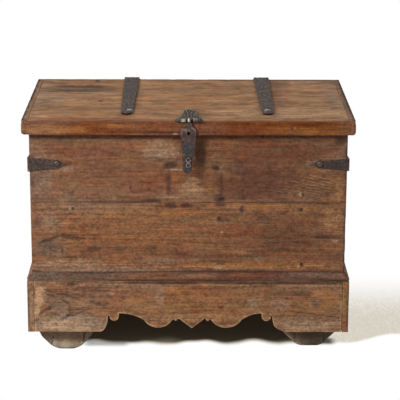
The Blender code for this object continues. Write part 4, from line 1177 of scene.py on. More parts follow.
# The front strip's grime and painted shade thin out towards its left end, between two places
THIN_GRIME_AND_SHADE = 0.35
THIN_FROM = -0.22
THIN_SPAN = 0.16


def moulding_section(tall, proud):
    """Section of the moulding as points outwards and up: upright foot, small nose and dusty slope."""
    foot = [(FIT_GAP, 0.0)] + [(proud - behind, up) for behind, up in MOULDING_FOOT]
    nose = [(proud - behind, up) for behind, up in MOULDING_NOSE]
    start, end = nose[-1], (FIT_GAP, tall)
    slope = []
    for step in range(1, SLOPE_STEPS):
        share = step / SLOPE_STEPS
        sag = SLOPE_SAG * math.sin(math.pi * share)
        slope.append((start[0] + (end[0] - start[0]) * share, start[1] + (end[1] - start[1]) * share - sag))
    return foot, nose, slope + [end]


def moulding(node, facing, wall, ends, mitres, grain):
    """A strip along a wall; a mitred end runs out as far as the strip stands proud."""
    low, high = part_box(node)
    proud = PLINTH_HALF - BODY_HALF
    parts = moulding_section(high.z - low.z, proud)
    section = parts[0] + parts[1] + parts[2]
    stations = np.linspace(0.0, 1.0, max(2, round(abs(ends[1] - ends[0]) / MOULDING_STEP)) + 1)
    right, up, out = (np.array(axis, float) for axis in facing)
    points = []
    for share in stations:
        for outward, height in section:
            start = ends[0] - mitres[0] * (outward - FIT_GAP)
            end = ends[1] + mitres[1] * (outward - FIT_GAP)
            along = start + (end - start) * share
            points.append(right * along + up * (low.z + height) + out * (wall + outward))
    count = len(section)
    faces = []
    for station in range(len(stations) - 1):
        for i in range(count):
            j = (i + 1) % count
            here, there = station * count, (station + 1) * count
            faces.append((here + i, there + i, there + j, here + j))
    faces.append(range(count))
    faces.append(range(len(points) - 1, len(points) - count - 1, -1))
    mesh = new_mesh("old_" + node, points, faces)
    crest = len(parts[0]) + len(parts[1]) - 1
    away = np.tile([abs(i - crest) * POINT_SPACING + NOSE_RIM for i in range(count)], len(stations))
    skin = Skin(mesh, away, seed_of(node))
    skin.weather(grain, 0.3)

    # What lies on each part: its least cover, how far that varies, the waves of it and their salt.
    # The grime on the foot under the nose and along the wall is partly painted shade.
    foot, nose, slope = ([float(point in part) for point in section] for part in parts)
    inner = [float(i >= count - 2) for i in range(count)]
    for layer, part, least, varied, waves, salt in (
            ("grime", foot, 0.72, 0.25, 9, 15), ("grime", nose, 0.20, 0.30, 9, 16),
            ("wear_and_painted_light", nose, 0.15, 0.35, 14, 11), ("red", slope, 0.25, 0.45, 8, 12),
            ("dust", slope, 0.20, 0.45, 9, 13), ("grime", slope, 0.26, 0.34, (12, 60, 60), 14),
            ("grime", inner, 0.50, 0.0, 9, 0)):
        skin.raise_layer(layer, np.tile(part, len(stations)) * (least + varied * skin.noise(waves, salt)))
    return skin


MOULDING_MARKS = (
    # Painted shade and dust along the top of the slope, by the wall
    Mark("grime", -0.3, 0.2588, 0.15, 0.002, 0.95, ragged=0.6),
    Mark("dust", -0.3, 0.2622, 0.15, 0.0016, 0.8),
    Mark("grime", 0.22, 0.256, 0.045, 0.006, 0.55),
    Mark("grime", 0.272, 0.254, 0.005, 0.003, 0.95),
    Mark("dust", -0.44, 0.25, 0.06, 0.02, 0.9),
    Mark("grime", -0.44, 0.25, 0.06, 0.02, 0.62),
    Mark("grime", -0.33, 0.252, 0.11, 0.014, 0.62),
    Mark("dust", -0.33, 0.252, 0.11, 0.01, 0.5),
    Mark("grime", 0.24, 0.246, 0.28, 0.005, 0.6, ragged=0.6),
    Mark("red", 0.02, 0.25, 0.24, 0.01, 0.9),
    Mark("dust", 0.39, 0.255, 0.11, 0.008, 0.62),
    Mark("grime", 0.39, 0.252, 0.11, 0.01, 0.35),
    Mark("honey", -0.06, 0.25, 0.14, 0.006, 0.6),
    Mark("grime", -0.3, 0.246, 0.08, 0.004, 0.6, 0.0006, -0.06),
)


class CHEST_OT_mouldings(Operator):
    """Dress the moulding strips above the aprons"""

    bl_idname = "chest.mouldings"
    bl_label = "Mouldings"

    def execute(self, context):
        front = moulding("front_moulding", FRONT, -FRONT_FACE, (-BODY_HALF, BODY_HALF), (1, 1), "x")
        thinned = 1.0 + (front.points[:, 0] - THIN_FROM) / THIN_SPAN
        front.layers["grime"] *= np.clip(thinned, THIN_GRIME_AND_SHADE, 1.0)
        front.paint(MOULDING_MARKS, FRONT)
        finish = wood("front_moulding", colours().plinth, "x", (0.0, -0.2, 0.1))
        settle(front.finish(), "chest", "plinth_wood", finish, "front_moulding")
        ends = {"left": (FIT_GAP - BACK_FACE, -FRONT_FACE), "right": (FRONT_FACE, BACK_FACE - FIT_GAP)}
        mitres = {"left": (0, 1), "right": (1, 0)}
        for side, (sign, facing) in SIDES.items():
            node = side + "_moulding"
            strip = moulding(node, facing, BODY_HALF, ends[side], mitres[side], "y")
            finish = wood(node, colours().plinth, "y", (sign * 0.4, 0.0, 0.1))
            settle(strip.finish(), "chest", "plinth_wood", finish, node)
        return {"FINISHED"}


# Wheels

class WheelWear(NamedTuple):
    """How a wheel was made and has worn, and how light and shade are painted on it; places are across from
    its axle.

    Depth of the hewing strokes, how far corners stand out, where its planks meet and how far the joints lean,
    where the painted highlight along its rim ends, and how much painted shade darkens it all over.
    """

    hewn: float
    corner: float
    joints: tuple
    lean: float
    pale_end: float
    dull: float


WHEELS = {
    "front_left": WheelWear(0.0008, 0.0015, (-0.0295, 0.0637), math.radians(11), -1.0, 0.0),
    "front_right": WheelWear(0.0016, 0.0025, (-0.044, 0.046), 0.0, -0.015, 0.34),
    "back_left": WheelWear(0.0012, 0.0, (-0.047, 0.042), math.radians(-6), 1.0, 0.20),
    "back_right": WheelWear(0.0018, 0.0, (-0.040, 0.047), math.radians(4), 1.0, 0.35),
}
WHEEL_EDGE = 0.0022
WHEEL_SIDES = 8
WHEEL_STEP = 0.009
WHEEL_BORE = 0.015
WHEEL_HEART = (0.04, -0.1)
PLANK_GAP = 0.0001
GROUND_GAP = 0.0002
RIM_STEPS = 96
BORE_STEPS = 32

# Widths of the painted highlight and the painted shade along a rim and of the dark line along a joint,
# and the share of the radius where the rim begins
RIM_HIGHLIGHT_LINE = 0.0058
RIM_SHADE_LINE = 0.0030
JOINT_LINE = 0.0022
RIM_SHARE = 0.93

# Heights between which painted shade sets in above and the painted light low on the wheel ends, and how
# ragged they are
WHEEL_SHADE_RISE = (0.022, 0.036)
WHEEL_LIGHT_TOP = (0.020, 0.032)
LIGHT_EDGE_RAGGED = 0.006


def leaned(points, angle):
    """Points turned clockwise round the axle."""
    cos, sin = math.cos(angle), math.sin(angle)
    return [(x * cos + z * sin, z * cos - x * sin) for x, z in points]


def wheel_outline(radius, corner, flat_bottom, hewn):
    """Outline of a wheel that was hewn round with straight strokes and has worn flat at the bottom."""
    points = []
    for step in range(RIM_STEPS):
        angle = 2 * math.pi * step / RIM_STEPS
        stroke = 2 * math.pi / WHEEL_SIDES
        off = (angle + stroke / 2) % stroke - stroke / 2
        reach = min(radius + corner, (radius - hewn) / math.cos(off))
        points.append((reach * math.cos(angle), max(-flat_bottom, reach * math.sin(angle))))
    return points


def between(outline, left, right):
    """The part of an outline between two upright lines."""
    kept = []
    for (x0, y0), (x1, y1) in zip(outline, outline[1:] + outline[:1]):
        cuts = []
        if left <= x0 <= right:
            kept.append((x0, y0))
        for line in (left, right):
            if (x0 - line) * (x1 - line) < 0:
                share = (line - x0) / (x1 - x0)
                cuts.append((share, (line, y0 + share * (y1 - y0))))
        kept.extend(point for share, point in sorted(cuts))
    return kept


def age_wheel(skin, wear_and_painted_light, centre_x, centre_z, radius, lit_plank):
    """Dust, dirt and rubbed wood on one plank of a wheel, with painted shade above, painted light below and
    painted rim lines.
    """
    skin.weather("z")
    across, up = skin.points[:, 0] - centre_x, skin.points[:, 2]
    from_axle = np.hypot(across, up - centre_z)
    ragged = up + LIGHT_EDGE_RAGGED * skin.noise(40, 24)
    pale = across < wear_and_painted_light.pale_end
    at_rim = fade(skin.rim, np.where(pale, RIM_HIGHLIGHT_LINE, RIM_SHADE_LINE)) * (from_axle > RIM_SHARE * radius)
    at_joint = fade(skin.rim, JOINT_LINE) * (from_axle < RIM_SHARE * radius) * (from_axle > 2 * WHEEL_BORE)
    painted_light_low = (1.0 - ramp(ragged, *WHEEL_LIGHT_TOP)) * lit_plank
    skin.raise_layer("dust", 0.80 + 0.3 * skin.noise(20, 21) - 0.4 * wear_and_painted_light.dull)
    skin.raise_layer("grime", wear_and_painted_light.dull + 0.28 * ramp(ragged, *WHEEL_SHADE_RISE))
    skin.layers["grime"] *= 1.0 - 0.95 * at_rim * pale
    skin.raise_layer("wear_and_painted_light", (1.0 - 1.6 * wear_and_painted_light.dull) * painted_light_low * (0.8 + 0.4 * skin.noise(60, 22)))
    skin.raise_layer("wear_and_painted_light", at_rim * pale * (1.1 + skin.noise(30, 23)))
    skin.raise_layer("grime", 0.90 * at_rim * ~pale)
    skin.raise_layer("grime", 0.85 * at_joint)


def plank_wheel(name, facing):
    """A wheel of three planks in the place of a solid wheel."""
    node = name + "_wheel"
    wear_and_painted_light = WHEELS[name]
    low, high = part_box(node)
    radius = (high.x - low.x) / 2
    centre_x, centre_z = (low.x + high.x) / 2, high.z - radius
    hewn = wheel_outline(radius, wear_and_painted_light.corner, centre_z - GROUND_GAP, wear_and_painted_light.hewn)
    outline = leaned(hewn, -wear_and_painted_light.lean)
    first, second = wear_and_painted_light.joints
    spans = ((-2 * radius, first), (first + PLANK_GAP, second), (second + PLANK_GAP, 2 * radius))
    side = facing.right[0]
    level = -low.y if facing is FRONT else high.y
    skins = []
    for index, (left, right) in enumerate(spans):
        loop = leaned(between(outline, left, right), wear_and_painted_light.lean)
        loops = [[(side * centre_x + x, centre_z + z) for x, z in loop]]
        if left < 0 < right:
            turns = [-2 * math.pi * step / BORE_STEPS for step in range(BORE_STEPS)]
            bore = [(WHEEL_BORE * math.cos(turn), WHEEL_BORE * math.sin(turn)) for turn in turns]
            loops.append([(side * centre_x + x, centre_z + z) for x, z in bore])
        skin = slab(node + "_plank_" + str(index), loops, high.y - low.y, WHEEL_EDGE, WHEEL_STEP, facing,
                    level)
        age_wheel(skin, wear_and_painted_light, centre_x, centre_z, radius, index == 1)
        skins.append(skin)
    heart = (centre_x + WHEEL_HEART[0], low.y + WHEEL_HEART[1], 0.0)
    # This pale colour is also that of the painted highlight along the rim and of the painted light low down
    finish = wood(node, colours().wheel, "z", heart, sheen=0.12, gloss=0.78, contrast=0.5, coarse=2.6,
                  drift=0.2, pale=tone(176, 160, 140))
    settle(joined("old_" + node, skins), node, "wheel_wood", finish, node)


class CHEST_OT_wheels(Operator):
    """Dress the four wheels, each made of three planks"""

    bl_idname = "chest.wheels"
    bl_label = "Wheels"

    def execute(self, context):
        for name in WHEELS:
            plank_wheel(name, FRONT if name.startswith("front") else BACK)
        return {"FINISHED"}


def keep(node, material):
    """Show a solid as it is, with a finish of its own."""
    mesh = frame["nodes"][node].data
    mesh.materials.clear()
    mesh.materials.append(material)


AXLE_HEART = (0.36, 0.0, 0.02)


class CHEST_OT_running_gear(Operator):
    """Dress the bolsters, axles and linchpins"""

    bl_idname = "chest.running_gear"
    bl_label = "Running Gear"

    def execute(self, context):
        pins = iron("linchpins", colours().iron)
        for side, (sign, _) in SIDES.items():
            plank(side + "_bolster", "chest", "wheel_wood", colours().wheel, "y", step=HIDDEN_STEP,
                  **GEAR_LOOK)
            heart = (sign * AXLE_HEART[0], *AXLE_HEART[1:])
            keep(side + "_axle", wood(side + "_axle", colours().wheel, "y", heart, **GEAR_LOOK))
            for end in ("front", "back"):
                keep(end + "_" + side + "_linchpin", pins)
        return {"FINISHED"}


LID_MARKS = (
    Mark("grime", -0.34, 0.165, 0.13, 0.06, 0.3),
    Mark("grime", -0.32, 0.198, 0.12, 0.016, 0.74, ragged=0.8),
    Mark("grime", -0.37, 0.128, 0.12, 0.02, 0.66, ragged=0.8),
    Mark("grime", -0.24, 0.165, 0.056, 0.024, 0.52),
    Mark("dust", -0.35, 0.16, 0.13, 0.05, 0.4),
    Mark("red", -0.31, 0.185, 0.04, 0.024, 0.65),
    Mark("red", -0.33, 0.24, 0.15, 0.02, 0.4),
    Mark("honey", -0.31, 0.272, 0.12, 0.024, 0.55),
    Mark("dust", -0.415, -0.02, 0.034, 0.06, 0.55),
    Mark("dust", -0.36, 0.06, 0.08, 0.03, 0.35),
    Mark("wear_and_painted_light", -0.31, 0.004, 0.15, 0.03, 0.3),
    Mark("wear_and_painted_light", -0.33, -0.09, 0.06, 0.03, 0.34),
    Mark("grime", -0.33, -0.13, 0.09, 0.014, 0.26),
    Mark("honey", -0.3, -0.22, 0.14, 0.04, 0.5),
    Mark("red", -0.33, -0.28, 0.17, 0.024, 0.8),
    Mark("red", 0.1, -0.296, 0.42, 0.01, 0.6),
    Mark("honey", 0.000, -0.28, 0.52, 0.026, 0.5),
    Mark("grime", -0.3, -0.298, 0.22, 0.006, 0.3),
    Mark("grime", -0.33, -0.15, 0.19, 0.05, 0.2),
    Mark("grime", -0.09, -0.17, 0.07, 0.07, 0.16),
    Mark("grime", -0.36, 0.176, 0.1, 0.0065, 0.8),
    Mark("grime", -0.28, 0.148, 0.06, 0.0065, 0.8),
    Mark("grime", -0.4, 0.202, 0.05, 0.0065, 0.85),
    Mark("grime", -0.3, 0.262, 0.07, 0.006, 0.45),
    Mark("grime", -0.22, 0.232, 0.05, 0.0055, 0.45),
    Mark("wear_and_painted_light", -0.3, 0.186, 0.05, 0.005, 0.45),
    Mark("wear_and_painted_light", -0.38, 0.156, 0.06, 0.005, 0.38),
    Mark("wear_and_painted_light", -0.45, -0.24, 0.026, 0.011, 1.0, ragged=0.4),
    Mark("grime", -0.302, 0.282, 0.008, 0.012, 1.0, ragged=0.3),
    Mark("grime", -0.276, -0.027, 0.006, 0.012, 0.9, ragged=0.3),
    Mark("honey", 0.01, 0.000, 0.05, 0.06, 0.8),
    Mark("honey", 0.06, 0.02, 0.2, 0.06, 0.4),
    Mark("honey", 0.03, -0.1, 0.11, 0.05, 0.6),
    Mark("wear_and_painted_light", 0.04, 0.04, 0.3, 0.09, 0.2),
    Mark("wear_and_painted_light", -0.08, -0.195, 0.07, 0.014, 0.5),
    Mark("red", 0.05, -0.14, 0.12, 0.014, 0.4),
    Mark("red", 0.29, 0.08, 0.03, 0.06, 0.45),
    Mark("grime", 0.305, 0.21, 0.034, 0.05, 0.3),
    Mark("red", 0.3, 0.23, 0.05, 0.04, 0.55),
    Mark("wear_and_painted_light", 0.384, 0.262, 0.055, 0.03, 0.62),
    Mark("dust", 0.395, 0.262, 0.065, 0.034, 0.7),
    Mark("grime", 0.155, 0.158, 0.016, 0.012, 0.55),
    Mark("grime", 0.12, 0.205, 0.06, 0.012, 0.36),
    Mark("grime", 0.13, 0.07, 0.06, 0.007, 0.4),
    Mark("grime", 0.445, -0.035, 0.026, 0.012, 0.55),
    Mark("grime", 0.362, -0.07, 0.014, 0.01, 0.45),
    Mark("grime", 0.4, 0.11, 0.06, 0.008, 0.36),
    Mark("grime", 0.06, 0.14, 0.12, 0.007, 0.26),
    Mark("grime", 0.2, -0.06, 0.09, 0.007, 0.26),
    Mark("honey", 0.28, -0.2, 0.23, 0.07, 0.85),
    Mark("wear_and_painted_light", 0.3, -0.2, 0.22, 0.08, 0.68),
    Mark("wear_and_painted_light", 0.12, -0.25, 0.36, 0.016, 0.34),
    Mark("dust", 0.455, 0.04, 0.022, 0.22, 0.6),
    Mark("dust", -0.465, 0.1, 0.02, 0.2, 0.6),
    Mark("grime", -0.1785, 0.02, 0.034, 0.24, 0.34),
    Mark("grime", 0.248, 0.02, 0.034, 0.24, 0.4),
    Mark("wear_and_painted_light", -0.06, 0.27, 0.09, 0.014, 0.35),
    Mark("grime", 0.012, -0.21, 0.046, 0.09, 0.34),
    Mark("grime", 0.000, 0.303, 1.2, 0.009, 0.85, ragged=0.4),
)


class CHEST_OT_lid_boards(Operator):
    """Dress the three boards of the lid and the battens under them"""

    bl_idname = "chest.lid_boards"
    bl_label = "Lid Boards"

    def execute(self, context):
        for part in ("front", "middle", "back"):
            plank(part + "_lid_plank", "lid", "lid_wood", colours().lid, "x", LID_MARKS, TOP, LID_STEP,
                  LID_EDGE, rubbed=0.2, sheen=0.10, coarse=3.0, drift=1.3, flecks=0.7, broad=1.3, reach=2.6)
        for side in SIDES:
            plank(side + "_lid_batten", "lid", "inner_wood", colours().inner, "y", step=HIDDEN_STEP,
                  **INNER_LOOK)
        return {"FINISHED"}


# A groove sets off a bead along the rim's lower edge
BEAD_GROOVE = 0.7068
RIM_LINES = (-0.0032, -0.0016, 0.0, 0.0016, 0.0032)

RIM_MARKS = (
    Mark("grime", -0.07, BEAD_GROOVE, 0.15, 0.0018, 0.72, 0.0012),
    Mark("grime", 0.311, 0.72, 0.008, 0.004, 0.55),
    Mark("wear_and_painted_light", 0.316, 0.721, 0.004, 0.003, 0.9),
    Mark("wear_and_painted_light", -0.4, 0.703, 0.09, 0.003, 0.22),
    Mark("dust", -0.06, 0.703, 0.25, 0.0035, 0.15),
    Mark("honey", -0.4, 0.716, 0.09, 0.01, 0.8),
    Mark("honey", -0.2, 0.726, 0.05, 0.008, 0.6),
    Mark("honey", 0.38, 0.715, 0.11, 0.012, 0.5),
    Mark("red", -0.11, 0.72, 0.12, 0.012, 0.65),
    Mark("red", 0.15, 0.716, 0.16, 0.012, 0.75),
    Mark("grime", 0.16, 0.712, 0.2, 0.006, 0.26),
    Mark("grime", -0.16, 0.714, 0.08, 0.008, 0.26),
    Mark("wear_and_painted_light", -0.041, 0.7035, 0.008, 0.0026, 1.0),
    # Painted shade behind the hole in the hasp's strap
    Mark("grime", 0.000, 0.706, 0.009, 0.006, 1.0),
)

# The rim's side pieces are rubbed and dusty on top, like the boards beside them
SIDE_RIM_MARKS = (
    Mark("dust", -0.49, 0.0, 0.014, 0.6, 0.4),
    Mark("dust", 0.49, 0.0, 0.014, 0.6, 0.5),
    Mark("grime", -0.4985, 0.0, 0.006, 0.6, 0.95, ragged=1.6),
    Mark("grime", 0.4985, 0.0, 0.007, 0.6, 0.95, ragged=1.6),
    Mark("grime", -0.49, 0.0, 0.014, 0.6, 0.24),
    Mark("grime", 0.49, 0.0, 0.014, 0.6, 0.28),
    Mark("wear_and_painted_light", -0.486, 0.12, 0.004, 0.12, 0.35),
)


class CHEST_OT_lid_rim(Operator):
    """Dress the rim along the lid's front and sides"""

    bl_idname = "chest.lid_rim"
    bl_label = "Lid Rim"

    def execute(self, context):
        groove = ((), (), [BEAD_GROOVE + shift for shift in RIM_LINES])
        plank("front_lid_rim", "lid", "lid_wood", colours().rim, "x", RIM_MARKS, FRONT, FRONT_STEP,
              sizes().rim_edge, sizes().rim_corner, groove, rubbed=0.22, sheen=0.08, contrast=0.75,
              drift=0.30)
        for side in SIDES:
            plank(side + "_lid_rim", "lid", "lid_wood", colours().lid, "y", SIDE_RIM_MARKS, TOP,
                  SIDE_RIM_STEP, SIDE_RIM_EDGE, rubbed=0.1, sheen=0.10, contrast=0.8, coarse=1.5, drift=0.9,
                  broad=1.2)
        return {"FINISHED"}


# Iron

IRON_STEP = 0.0045
BARREL_LIP = 0.0008
BARREL_DENT = 0.0004

# Section of a nail's head, as shares of its radius and its height
NAIL_SECTION = ((0.0, 1.0), (0.35, 0.95), (0.65, 0.78), (0.88, 0.48), (1.0, 0.12), (0.97, 0.0), (0.0, 0.0))
NAIL_BEATEN = 0.07

# The heads are wider than the solid nails
NAIL_SPREAD = 1.25


def nail(name, place, outward, radius, tall, facets=20):
    """The skin of a hand-made nail's head: a low dome with a beaten rim."""
    profile = [(out * radius, up * tall) for out, up in NAIL_SECTION]
    skin = turned(name, profile, place, outward, facets)
    skin.height += NAIL_BEATEN * radius * skin.noise(300, 1)
    # Painted highlight on the top of the head and painted shade round its sides
    facing_out = skin.outward @ np.array(outward, float)
    skin.raise_layer("wear_and_painted_light", ramp(facing_out, 0.55, 0.85) * (0.7 + 0.4 * skin.noise(500, 2)))
    skin.raise_layer("grime", 0.85 * (1.0 - ramp(facing_out, 0.2, 0.5)))
    return skin


def solid_nail(node, outward, body, material, tall, lit_back=False):
    """A domed nail's head in the place of a solid nail, perhaps with a painted highlight at the back and
    painted shade in front.
    """
    low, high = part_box(node)
    middle = (low + high) / 2
    out = Vector(outward)
    tip = max(out.dot(low), out.dot(high))
    flat = Vector(1 - abs(v) for v in out)
    wide = max((high - low)[i] for i in range(3) if flat[i])
    radius = NAIL_SPREAD * wide / 2
    place = Vector(middle[i] * flat[i] for i in range(3)) + out * (tip - tall)
    skin = nail("old_" + node, place, outward, radius, tall)
    if lit_back:
        # Painted shade in front, painted highlight at the back
        behind = (skin.points[:, 1] - place.y) / radius
        skin.layers["grime"] = np.clip(0.2 - 2.5 * behind, 0.0, 1.0)
        skin.raise_layer("wear_and_painted_light", np.clip(0.4 + 2.5 * behind, 0.0, 1.0))
    settle(skin.finish(), body, "iron", material, node)


def barrel(name, radius, start, end, axis_y, axis_z):
    """The skin of a hinge knuckle along X."""
    half = (end - start) / 2
    lip = half - BARREL_LIP
    profile = [(0.0, half), (radius - BARREL_LIP, half), (radius, lip), (radius, 0.3 * half),
               (radius, -0.3 * half), (radius, -lip), (radius - BARREL_LIP, -half), (0.0, -half)]
    skin = turned(name, profile, ((start + end) / 2, axis_y, axis_z), (1, 0, 0))
    skin.height -= BARREL_DENT * (0.5 + 0.5 * skin.noise(150, 1))
    skin.raise_layer("wear_and_painted_light", 0.45 + 0.5 * skin.noise(200, 2))
    return skin


def plate(node, facing, thickness, part="plate"):
    """The skin of a solid's flat iron plate."""
    loops, level = face_loops(node, facing)
    skin = slab(node + "_" + part, loops, thickness, sizes().iron_edge, IRON_STEP, facing, level)
    skin.hammer()
    return skin


HINGE_THICK = 0.005
STRAP_KNUCKLES = ((-0.0102, 0.0102),)
LEAF_KNUCKLES = ((-0.0246, -0.0106), (0.0106, 0.0246))
STRAP_NAIL_TALL = 0.0056
LEAF_NAIL_RADIUS = 0.0065
LEAF_NAIL_TALL = 0.003
LEAF_NAIL_DROPS = (0.055, 0.120)

# Rust and scale on the straps lie along them
HINGE_SCALE = (0.0085, 0.0240, 0.0085)

# The straps end in a half round
ROUND_END = 0.036
ROUND_SHARE = 0.88

# The painted shade on a strap's tip fades out between two distances from it
SHADED_TIP = (0.0084, 0.0224)


class CHEST_OT_hinges(Operator):
    """Dress the strap hinges, their pins and their nails"""

    bl_idname = "chest.hinges"
    bl_label = "Hinges"

    def execute(self, context):
        axis = joint_axis("lid_hinge")
        black = iron("hinges", colours().iron, 0.45, 0.10, 0.62, 0.10, HINGE_SCALE, 1.0, 1.4)
        nails = iron("hinge_nails", tone(176, 172, 166), 0.1, 0.3, 0.30, grit=0.3)
        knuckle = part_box("left_hinge_leaf")[1].y - axis.y
        for side in SIDES:
            strap, leaf, pin = (side + "_hinge_" + part for part in ("strap", "leaf", "pin"))
            middle = sum(corner.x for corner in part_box(strap)) / 2
            blade = plate(strap, TOP, HINGE_THICK)
            from_tip = blade.points[:, 1] - blade.points[:, 1].min()
            narrow = np.sqrt(1.0 - ROUND_SHARE * (1.0 - ramp(from_tip, 0.0, ROUND_END)) ** 2)
            blade.points[:, 0] = middle + (blade.points[:, 0] - middle) * narrow
            # Painted shade on the strap's front end face and over its tip
            blade.raise_layer("grime", 0.95 * (blade.outward[:, 1] < -0.25))
            blade.raise_layer("grime", 0.8 * (1.0 - ramp(from_tip, *SHADED_TIP)))
            skins = {strap: [blade], leaf: [plate(leaf, BACK, HINGE_THICK)]}
            for node, knuckles in ((strap, STRAP_KNUCKLES), (leaf, LEAF_KNUCKLES)):
                for start, end in knuckles:
                    ends = (middle + start, middle + end)
                    skins[node].append(barrel(node + "_barrel", knuckle, *ends, axis.y, axis.z))
            settle(joined("old_" + strap, skins[strap]), "lid", "iron", black, strap)
            settle(joined("old_" + leaf, skins[leaf]), "chest", "iron", black, leaf)
            keep(pin, nails)
            solid_nail(side + "_strap_nail", TOP.out, "lid", nails, STRAP_NAIL_TALL, True)
            heads = []
            for drop in LEAF_NAIL_DROPS:
                place = (middle, BACK_FACE + FIT_GAP + HINGE_THICK, axis.z - drop)
                heads.append(nail(leaf + "_nail", place, BACK.out, LEAF_NAIL_RADIUS, LEAF_NAIL_TALL))
            settle(joined(leaf + "_nails", heads), "chest", "iron", nails)
        return {"FINISHED"}


CORNER_THICK = 0.003
CORNER_NAIL_TALL = 0.0055
SIDE_NAIL_RADIUS = 0.0080
SIDE_NAIL_TALL = 0.0035

# The right strap was forged narrower and is darker, and both stand off a little at the sides
STRAP_SHRINK = {"left": 0.91, "right": 0.78}
STRAP_BELLY = 0.0030
STRAP_DROP = {"left": 0.0028, "right": 0.0022}
STRAP_GRIME = {"left": 0.12, "right": 0.45}


class CHEST_OT_corner_straps(Operator):
    """Dress the iron straps round the front corners"""

    bl_idname = "chest.corner_straps"
    bl_label = "Corner Straps"

    def execute(self, context):
        black = iron("corner_straps", tone(68, 55, 50), 0.60, 0.25, 0.60)
        nails = iron("corner_nails", tone(56, 49, 46), 0.1, 0.6, 0.46)
        for side, (sign, facing) in SIDES.items():
            node = side + "_corner_strap"
            skins = [plate(node, FRONT, CORNER_THICK, "front"), plate(node, facing, CORNER_THICK, "side")]
            middle = sum(corner.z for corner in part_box(node)) / 2
            for skin in skins:
                skin.points[:, 2] += (STRAP_SHRINK[side] - 1) * (skin.points[:, 2] - middle)
                skin.points[:, 2] -= STRAP_DROP[side]
                skin.height += STRAP_BELLY * (np.abs(skin.outward[:, 0]) > 0.9)
                skin.raise_layer("grime", STRAP_GRIME[side] * (0.6 + 0.8 * skin.noise(60, 5)))
            settle(joined("old_" + node, skins), "chest", "iron", black, node)
            solid_nail(side + "_corner_nail", FRONT.out, "chest", nails, CORNER_NAIL_TALL)
            low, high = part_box(side + "_corner_nail")
            from_corner = BODY_HALF - abs(low.x + high.x) / 2
            across = sign * (BODY_HALF + FIT_GAP + CORNER_THICK)
            place = (across, FRONT_FACE + from_corner, (low.z + high.z) / 2)
            head = nail(side + "_side_nail", place, facing.out, SIDE_NAIL_RADIUS, SIDE_NAIL_TALL)
            settle(head.finish(), "chest", "iron", nails)
        return {"FINISHED"}


# The leaf and the barrel sit a little to the right of the hasp's middle
HASP_SHIFT = 0.0030
LEAF_THICK = 0.003
LEAF_CREST = 0.0070
LEAF_FRONT = -0.313
LEAF_BACK = -0.190
LEAF_RISE = 0.012
LEAF_BEND = 1.3
LEAF_MOUTH = 0.016
BEAD_ROWS = 9
BEAD_GAP = 0.0090
BEAD_RADIUS = 0.0031
BEAD_TALL = 0.0027
BEAD_FACETS = 10
BEAD_MARGIN = 0.001
ROW_REACH = 0.006
LAST_ROW = LEAF_BACK + 0.010

# Section of a bead above the leaf, as shares of its radius and its height
BEAD_SECTION = ((0.0, 1.0), (0.5, 0.87), (0.87, 0.5), (1.0, 0.0))
BEAD_ROOT = -0.0004

# The barrel gets dark between two distances from its middle
HASP_BARREL = 0.006
BARREL_ENDS = {"left": (-0.0404, -0.0104), "right": (0.0104, 0.0372)}
BARREL_DARK = (0.020, 0.026)
TONGUE_HALF = 0.0056
TONGUE_HIGHLIGHT = -0.001
TONGUE_DARK = 0.003
HASP_THICK = 0.004
HASP_STEP = 0.0026

# Rings of the riveted staple: how far up and down, their section and their bright crest
RIVET_SHIFTS = {"upper": 0.0080, "lower": -0.0080}
RIVET_RING = ((0.0, 0.0004), (0.0036, 0.0004), (0.0048, 0.0018), (0.0064, 0.0026), (0.0080, 0.0020),
              (0.0092, 0.0), (0.0, 0.0))
RIVET_CREST = 0.0066
RIVET_CREST_REACH = 0.0019

# Half widths of the hasp's strap from its neck down to its end, as up and half width
STRAP_OUTLINE = ((0.7390, 0.0072), (0.7310, 0.0113), (0.7248, 0.0164), (0.7200, 0.0210), (0.7150, 0.0236),
                 (0.7010, 0.0240), (0.6930, 0.0232), (0.6860, 0.0210), (0.6610, 0.0197), (0.6364, 0.0170),
                 (0.6120, 0.0152), (0.5960, 0.0140), (0.5890, 0.0116), (0.5850, 0.0076), (0.5838, 0.0030))
STRAP_LEAN = 0.018
HOLE_HEIGHT = 0.7060
HOLE_HALF = (0.0042, 0.0056)
HOLE_STEPS = 18

STRAP_MARKS = (
    # Painted highlights, partly wear, along the tops of the shoulders and on a spot lower down
    Mark("wear_and_painted_light", -0.014, 0.7175, 0.01, 0.0035, 1.0, 0.0, -0.3, 0.4),
    Mark("wear_and_painted_light", -0.02, 0.708, 0.003, 0.01, 0.8, ragged=0.5),
    Mark("wear_and_painted_light", 0.015, 0.72, 0.009, 0.003, 0.9, 0.0, -0.6, 0.4),
    Mark("wear_and_painted_light", 0.02, 0.708, 0.003, 0.011, 0.7, ragged=0.5),
    Mark("wear_and_painted_light", -0.006, 0.722, 0.004, 0.004, 0.6),
    Mark("wear_and_painted_light", -0.014, 0.6415, 0.004, 0.0045, 0.9),
    Mark("red", -0.002, 0.723, 0.03, 0.016, 0.8),
    Mark("red", -0.003, 0.685, 0.024, 0.009, 0.7),
    Mark("dust", -0.004, 0.66, 0.024, 0.018, 0.95),
    Mark("dust", -0.005, 0.595, 0.02, 0.012, 0.85),
    Mark("grime", 0.000, 0.664, 0.02, 0.02, 0.25),
    Mark("grime", -0.013, 0.7, 0.006, 0.007, 0.55),
    Mark("grime", 0.013, 0.699, 0.006, 0.007, 0.55),
    Mark("grime", -0.008, 0.7255, 0.006, 0.004, 0.55),
    Mark("wear_and_painted_light", 0.000, 0.716, 0.007, 0.003, 0.7),
    Mark("red", -0.002, 0.677, 0.02, 0.003, 1.0),
    # Painted shade round the hole
    Mark("grime", 0.000, HOLE_HEIGHT, 0.006, 0.0075, 0.6),
)


